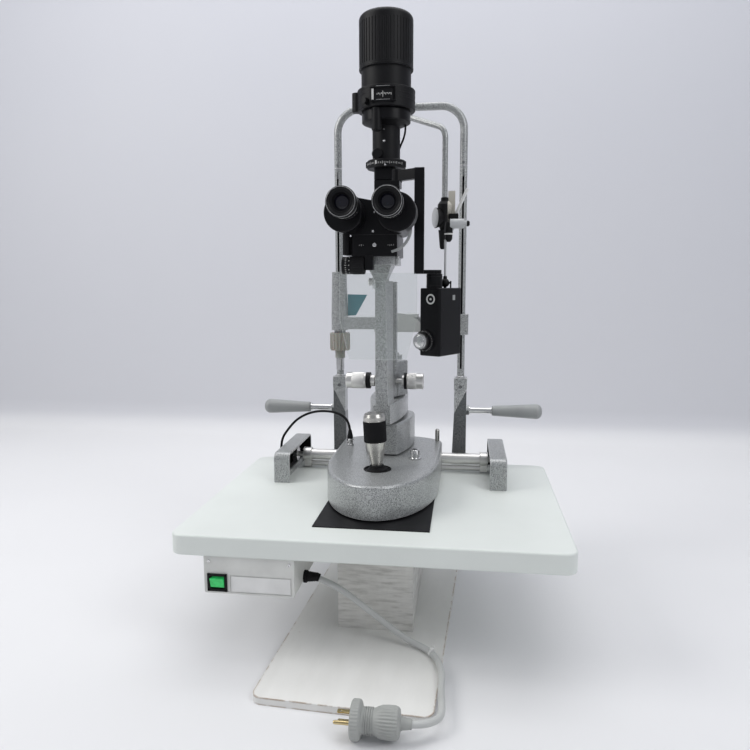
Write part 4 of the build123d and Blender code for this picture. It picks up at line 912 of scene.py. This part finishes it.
def make_microscope_details():
    """Screws and marks on the front, the lever at the lower right and the knob's scale."""
    face = -58.0
    heads = [spot(INSTR_X / MM - 1, face, T + 396.5, (0, -1, 0)),
             spot(INSTR_X / MM - 3, face - 0.8, T + 416, (0, -1, 0)),
             spot(INSTR_X / MM - 1, face - 0.8, T + 443, (0, -1, 0))]
    build = bmesh.new()
    for place, radius in zip(heads, (3.0, 1.9, 1.2)):
        screw_head(build, place, radius, 1.2)
    add_built("front_screws", build, "chrome", "microscope")
    build = bmesh.new()
    for x in (-29.5, -26.5, -23.5, 13.0, 15.6, 18.2, 20.8):
        tall = 2.8 if x in (-26.5, 15.6) else 1.5
        add_box(build, (x, face - 0.05, T + 396), (0.5, 0.3, tall), None, 0.05)
    add_built("changer_marks", build, "mark_white", "microscope")
    build = bmesh.new()
    steps = 7
    for i in range(steps):
        angle = math.radians(-12 - 62 * i / (steps - 1))
        centre = Vector((12.0 + 34.0 * math.cos(angle), -57.0, T + 420.0 + 34.0 * math.sin(angle)))
        turn = Matrix.Translation(centre * MM) @ Matrix.Rotation(-angle, 4, "Y")
        add_box(build, (0, 0, 0), (3.6, 9.0, 7.0), turn, 0.6)
    add_built("changer_lever", build, "plastic_grey", "microscope")
    lathe("changer_pillar", [(5.2, 0), (5.6, 0.5), (5.6, 30.5), (5.2, 31)], spot(-49.5, -54, T + 382),
          "plastic_black", "microscope", 40)
    # Painted highlight: the platform's right end is a lighter hammertone.
    box_piece("platform_end", (INSTR_X / MM + 30.5, -32, T + 374), (4.0, 10, 13), None, "hammertone_painted_highlight",
              "microscope", 0.6)
    knob = middle("magnification_knob") / MM
    place = spot(-55.0, knob.y, knob.z, (1, 0, 0))
    build = bmesh.new()
    add_ring_ticks(build, place, 12.75, 6.0, 24, (0.6, 0.5, 2.0), long_every=4)
    add_ring_ticks(build, place, 12.75, 11.0, 12, (0.9, 0.5, 1.4))
    add_built("magnification_marks", build, "mark_white", "magnifier")

    grip = [(12.5, 15), (12.95, 15.5), (12.95, 32), (12.5, 32.5)]
    lathe("magnification_grip", grip, place, "plastic_black", "magnifier",
          240, wave=knurl(30, 0.3, 12.8))
    screw = middle("shield_screw") / MM
    head = spot(low("shield_screw").x / MM, screw.y, screw.z, (1, 0, 0))

    thumb = [(4.6, -0.5), (5.6, 0.6), (5.6, 6.6), (5.0, 7.4)]
    lathe("shield_screw_knurl", thumb, head, "chrome", "shield_clamp", 192, wave=knurl(24, 0.25, 5.4))


# ---------- lamp tower
def make_tower_details():
    x, y = INSTR_X / MM, TOWER.y / MM
    axis = spot(x, y, 0)
    wide_low = low("tower_drum").z / MM
    wide_r = (high("tower_drum").y - TOWER.y) / MM
    build = bmesh.new()
    for side in (-1, 1):
        add_box(build, (x + side * 19.6, y - wide_r + 1.2, wide_low + 17), (1.4, 3.2, 20.5), None, 0.3)
    for height in (6.8, 27.2):
        add_box(build, (x, y - wide_r + 1.0, wide_low + height), (40.6, 3.2, 1.4), None, 0.3)
    add_built("scale_window_frame", build, "enamel", "tower")
    build = bmesh.new()
    add_box(build, (x - 16.2, y - wide_r + 1.2, wide_low + 17), (3.6, 0.5, 16.5), None, 0.1)
    for i, offset in enumerate((-9.0, -4.5, 0.0, 4.5, 9.0, 13.0)):
        tall = 9.0 if offset == 0.0 else (3.4 if i % 2 else 2.2)
        add_box(build, (x + offset, y - wide_r + 1.4, wide_low + 17), (0.7, 0.5, tall), None, 0.1)
    for offset in (-7.0, -2.2, 2.2, 6.8, 11.0):
        add_box(build, (x + offset, y - wide_r + 1.4, wide_low + 18), (1.2, 0.5, 1.8), None, 0.2)
    add_built("window_scale", build, "mark_white", "tower")
    build = bmesh.new()
    for height in (8.4, 28.6):
        add_box(build, (x + 0.5, y - wide_r + 0.1, wide_low + height), (22, 1.6, 0.6), None, 0.1)
    add_built("window_edges", build, "steel", "tower")
    build = bmesh.new()
    for height in (5.0, 12.5, 20.0):
        groove = wide_low + height + 9.0
        band = ring_profile(wide_r - 1, wide_r + 0.35, groove, groove + 0.6, 0.1)
        add_lathe(build, band, axis, 120, closed=True)
    ring = finish_mesh("drum_grooves", build)
    build = bmesh.new()
    build.from_mesh(ring)
    inside = [v for v in build.verts if abs(v.co.x / MM - x) < 22 and v.co.y < TOWER.y]
    bmesh.ops.delete(build, geom=inside, context="VERTS")
    add_built("drum_grooves", build, "enamel", "tower")
    build = bmesh.new()
    flange_z = middle("tower_flange").z / MM
    add_ring_ticks(build, axis, 31.5, flange_z, 25, (0.6, 0.5, 2.6), -160, 130, 4)
    add_box(build, (x - 13.5, y - 28.9, flange_z + 1), (2.4, 0.8, 5.4), None, 0.2)
    add_built("flange_scale", build, "mark_white", "illumination")
    build = bmesh.new()
    screw_head(build, spot(x + 2, y - 31.3, flange_z - 4, (0, -1, 0)), 1.7, 0.8)
    screw_head(build, spot(x - 1, y - 22.4, T + 566, (0, -1, 0)), 1.9, 0.8)
    add_box(build, (x - 2.5, y - 22.6, T + 584), (4.6, 0.8, 0.8), None, 0.1)
    add_built("tower_screws", build, "chrome", "tower")
    lever = [(6.8, T + 579), (7.8, T + 580), (7.8, T + 613), (6.8, T + 614)]
    lathe("slit_turn_lever", lever, spot(x - 11, y - 35, 0), "enamel_matt", "tower", 48)
    knob = [(7.4, 0), (8.4, 1), (8.4, 8), (7.2, 9.4)]
    lathe("slit_lock_knob", knob, spot(x - 12, y - 17, T + 546, (0, -1, 0)), "plastic_black", "tower",
          48)
    lead = [(x + 31, y + 2, T + 598), (x + 31.5, y + 1, T + 588), (x + 29, y + 1, T + 575),
            (x + 23, y + 2, T + 562), (x + 19, y + 3, T + 553)]
    tube_piece("tower_lead", route(lead), 0.0032, "rubber", "tower")
    box_piece("head_block_skirt", (-6.5, 80, T + 492), (35, 38, 31), None, "enamel", "illumination",
              2.5)
    lathe("cap_seam", ring_profile(40.2, 43.75, T + 679.2, T + 680.2, 0.2), axis, "enamel", "tower",
          96, closed=True)


# ---------- tonometer and fixation lamp
def make_tonometer_details():
    turn = Matrix.Translation((0.087, 0.030, 0)) @ Matrix.Rotation(math.radians(59), 4, "Z")
    dial_z = T + 250.5
    dial = turn @ spot(-35.0, 8.0, dial_z, (-1, 0, 0))
    build = bmesh.new()
    for i in range(31):
        angle = math.radians(-150 + 300 * i / 30)
        mark = dial @ Matrix.Rotation(angle, 4, "Z") @ Matrix.Translation((15.2 * MM, 0, 0.1 * MM))
        add_box(build, (0, 0, 0), (2.6 if i % 5 == 0 else 1.4, 0.35, 0.3), mark, 0.05)
    add_built("force_scale", build, "mark_white", "tonometer")
    knob = turn @ spot(-35.4, 10.0, dial_z, (-1, 0, 0))

    lathe("force_drum_knurl", [(11.8, 0.4), (12.2, 0.9), (12.2, 8.4), (11.6, 9.4)], knob, "steel", "force_drum",
          288, wave=knurl(36, 0.3, 12.1))
    lathe("force_drum_face", [(9.2, 9.9), (9.2, 10.3), (8.6, 10.6), (0.4, 10.7)], knob, "chrome", "force_drum",
          60)
    side = turn @ spot(-32.0, -2.0, T + 316, (-1, 0, 0))
    build = bmesh.new()
    add_lathe(build, ring_profile(5.6, 8.0, -0.1, 0.35, 0.1), side, 60, closed=True)
    add_lathe(build, [(1.7, -0.1), (1.7, 0.4)], side, 24)
    add_built("tonometer_ring_mark", build, "mark_white", "tonometer")
    plate = turn @ spot(8.0, -19.0, T + 318, (0, -1, 0))
    box_piece("tonometer_label", (0, 0, 0.1), (7, 8, 0.4), plate, "plastic_grey", "tonometer",
              0.1)
    build = bmesh.new()
    for y_offset, low_z in ((-19.0, T + 240), (-19.0, T + 300)):
        for x_offset in (-24, 26):
            screw_head(build, turn @ spot(x_offset, y_offset, low_z, (0, -1, 0)), 1.6, 0.6)
    add_built("tonometer_screws", build, "enamel", "tonometer")
    seam = bmesh.new()
    for height in (T + 335.6, T + 350.5):
        add_lathe(seam, ring_profile(12.0, 12.9, height, height + 1.0, 0.2), spot(77, 20, 0), 60, closed=True)
    add_piece("swivel_rings", finish_mesh("swivel_rings", seam), "enamel_matt", "tonometer")
    build = bmesh.new()
    add_lathe(build, [(2.4, T + 346), (3.4, T + 347), (3.0, T + 351), (2.0, T + 352)], spot(93, 38, 0), 30)
    add_lathe(build, [(2.6, T + 405), (5.6, T + 409), (6.4, T + 424), (6.4, T + 430), (5.0, T + 436)],
              spot(98, 38.5, 0), 40)
    add_built("feeler_holder", build, "plastic_black", "feeler")
    lathe("feeler_holder_ring", ring_profile(5.6, 6.75, T + 416, T + 418.4, 0.3), spot(98, 38.5, 0),
          "mark_white", "feeler", closed=True)
    lathe("feeler_prism_tip", [(3.4, 0), (4.4, 1.0), (4.4, 4.0), (2.6, 5.6)], spot(125, 38, T + 433, (1, 0, 0)),
          "plastic_black", "feeler", 32)


def make_fixation_details():
    disc = spot(71.5, 150, T + 453, (-0.93, -0.36, 0))
    lathe("fixation_mirror", [(16.4, -1.6), (16.8, -1.0), (16.8, 0.8), (15.6, 1.6), (2.0, 1.7)], disc,
          "grey_light", "fixation_head", 64)
    lathe("fixation_mirror_back", [(9.0, -14), (16.0, -6), (17.4, -1.2), (17.4, 0.2)], disc, "plastic_black",
          "fixation_head", 64)
    lathe("fixation_cone", [(2.6, T + 399), (4.6, T + 402), (6.6, T + 426), (7.4, T + 432)], spot(84, 150, 0),
          "plastic_black", "fixation_head", 36)
    build = bmesh.new()
    rod = Vector((19, 0, 42))
    place = spot(107, 150, T + 459, rod)
    add_lathe(build, [(2.4, 0), (2.8, 0.6), (2.8, rod.length - 0.6), (2.2, rod.length)], place, 30)
    add_built("fixation_handle", build, "plastic_white", "fixation_head")
    box_piece("fixation_joint", (103, 151, T + 455), (17, 14, 9), None, "plastic_black", "fixation_head",
              1.2)
    collar = [(5.4, T + 481), (6.6, T + 482), (6.6, T + 487), (5.4, T + 488)]
    lathe("fixation_collar", collar, spot(87, 156, 0), "plastic_black", "fixation_head", 40)


# ---------- headrest, rails and power supply
def make_headrest_details():
    left, right = middle("upright_left").x / MM, middle("upright_right").x / MM
    y = HEAD_Y / MM
    build = bmesh.new()
    for x in (left, right):
        screw_head(build, spot(x, y - 14.5, T + 147, (0, -1, 0)), 3.2, 0.9)
        screw_head(build, spot(x, y - 6.9, T + 557, (0, -1, 0)), 2.2, 1.0)
    add_built("headrest_screws", build, "hammertone_dark_and_painted_shade", "stand")
    build = bmesh.new()
    for x in (left, right):
        add_lathe(build, ring_profile(6.9, 7.5, T + 549.5, T + 551.5, 0.2), spot(x, y, 0), 48, closed=True)
        add_lathe(build, ring_profile(6.9, 8.6, T + 162.8, T + 166.0, 0.4), spot(x, y, 0), 48, closed=True)
    add_built("upright_collars", build, "chrome", "stand")
    build = bmesh.new()
    for side, x in ((-1, left), (1, right)):
        flange = spot(x + side * 16.2, y, T + 100, (side, 0, 0))
        add_lathe(build, ring_profile(5.8, 8.2, 0, 3.0, 0.5), flange, 40, closed=True)
        add_lathe(build, ring_profile(5.9, 7.4, 40.5, 43.2, 0.4), flange, 40, closed=True)
    add_built("handle_collars", build, "chrome", "stand")
    sleeve = spot(14.5, y, high("hoop").z / MM - 7, (1, 0, 0))
    lathe("hoop_collar", ring_profile(6.9, 9.6, 0, 12.0, 0.8), sleeve, "chrome", "stand", closed=True)
    build = bmesh.new()
    for offset in (-30, 30):
        screw_head(build, spot(middle("chin_cup").x / MM + offset, 209.8, T + 259, (0, -1, 0)), 2.6, 1.0)
    add_built("chin_cup_screws", build, "chrome", "chin_rest")
    build = bmesh.new()
    add_lathe(build, ring_profile(6.9, 7.9, T + 175, T + 198, 0.3), spot(left, y, 0), 48, closed=True)
    add_built("height_sleeve", build, "chrome", "stand")


def make_rail_details():
    """Turned rings at the ends of the axle's bearings."""
    y, z = middle("axle").y / MM, middle("axle").z / MM
    build = bmesh.new()
    for side in (-1, 1):
        for x in (155.0, 168.5):
            add_lathe(build, ring_profile(9.9, 13.2, 0, 1.6, 0.3), spot(side * x, y, z, (side, 0, 0)), 60,
                      closed=True)
    add_built("bearing_rings", build, "steel_x", "carriage")


def make_power_supply_details():
    """Switch frame, blank recessed label, case screws and the ribs of the cord's gland."""
    front = low("psu_case").y / MM
    left, right = low("psu_case").x / MM, high("psu_case").x / MM
    build = bmesh.new()
    for side in (-1, 1):
        add_box(build, (-207 + side * 12.4, front + 0.2, 118), (3.4, 2.2, 25.6), None, 0.5)
        add_box(build, (-207, front + 0.2, 118 + side * 10.9), (28.2, 2.2, 3.4), None, 0.5)
    add_built("switch_frame", build, "plastic_black", "stand")
    build = bmesh.new()
    label_x, label_w = (-189 - 102) / 2, 84
    add_box(build, (label_x, front + 1.9, 116.5), (label_w, 0.8, 22), None, 0.3)
    add_built("blank_label", build, "plastic_white", "stand")
    build = bmesh.new()
    for corner in (left + 7, right - 7):
        screw_head(build, spot(corner, front + 1.5, 148, (0, -1, 0)), 2.4, 1.0)
    add_built("case_screws", build, "chrome", "stand")
    gland = spot(right + 4, -150, 108, (1, 0, 0))
    build = bmesh.new()
    for i in range(5):
        radius = 7.6 - 0.35 * i
        add_lathe(build, ring_profile(radius - 1.6, radius, 0.6 + 3.2 * i, 2.4 + 3.2 * i, 0.3), gland, 40,
                  closed=True)
    add_built("gland_ribs", build, "rubber", "stand")


# ---------- stage and light
def make_stage():
    """White floor sheet that meets a slightly darker, cooler wall behind the object; the wall darkens upwards
    as painted shade.
    """
    build = bmesh.new()
    wall_y = 1.22
    rows = [(-3.0, 0.0), (wall_y - 0.10, 0.0), (wall_y - 0.04, 0.012), (wall_y - 0.01, 0.045), (wall_y, 0.10),
            (wall_y, 3.6)]
    strips = [[build.verts.new((x, y, z)) for x in (-4.0, 4.0)] for y, z in rows]
    for lower, upper in zip(strips, strips[1:]):
        build.faces.new((lower[0], lower[1], upper[1], upper[0]))
    backdrop = bpy.data.objects.new("studio_backdrop", finish_mesh("studio_backdrop", build, smooth_angle=60))
    bpy.context.scene.collection.objects.link(backdrop)
    m = Material("studio_paper")
    height = m.node("ShaderNodeSeparateXYZ")
    m.link(m.place, height.inputs[0])
    tall = m.math("DIVIDE", height.outputs["Z"], 2.0)
    # Painted shade: the wall's colour darkens upwards.
    shade = m.ramp(tall, [(0.0, (0.78, 0.78, 0.79)), (0.03, (0.60, 0.605, 0.64)), (1.0, (0.50, 0.51, 0.56))])
    m.color(m.mix(m.ramp(m.noise(1.5, 2), [(0.3, 0.0), (0.7, 0.15)]), shade, (0.62, 0.62, 0.64)))
    m.set(Roughness=0.6)
    backdrop.data.materials.append(m.material)


def add_light(name, place, target, size, power, color=(1, 1, 1)):
    data = bpy.data.lights.new(name, "AREA")
    data.shape = "RECTANGLE"
    data.size, data.size_y = size
    data.energy = power
    data.color = color
    lamp = bpy.data.objects.new(name, data)
    bpy.context.scene.collection.objects.link(lamp)
    lamp.matrix_world = facing(place, Vector(place) - Vector(target))
    return lamp


def make_lights():
    """A soft panel on each side, a wide one overhead and a weak, even surround."""
    world = bpy.data.worlds.new("surround")
    world.use_nodes = True
    world.node_tree.nodes["Background"].inputs["Color"].default_value = (0.90, 0.93, 1.0, 1)
    world.node_tree.nodes["Background"].inputs["Strength"].default_value = 0.38
    bpy.context.scene.world = world
    aim = (0, 0.1, 0.45)
    add_light("panel_left", (-1.9, -0.6, 1.9), aim, (1.3, 1.2), 27, (1.0, 0.99, 0.97))
    add_light("panel_right", (1.7, -1.2, 1.9), aim, (1.1, 1.3), 17, (0.98, 0.99, 1.0))
    add_light("overhead", (0.0, 0.3, 2.6), (0, 0.25, 0), (2.4, 1.8), 23)
    add_light("backdrop_wash", (0.0, 0.6, 2.4), (0, 1.2, 0.8), (2.6, 0.5), 7)
    bpy.context.scene.view_settings.view_transform = "Standard"


# ---------- main
make_camera()
make_stage()
make_lights()
dress_nodes()
dress_details()
make_cords()
make_joystick()
make_base_fittings()
make_slit_knobs()
make_eyepieces()
make_microscope_details()
make_tower_details()
make_tonometer_details()
make_fixation_details()
make_headrest_details()
make_rail_details()
make_power_supply_details()
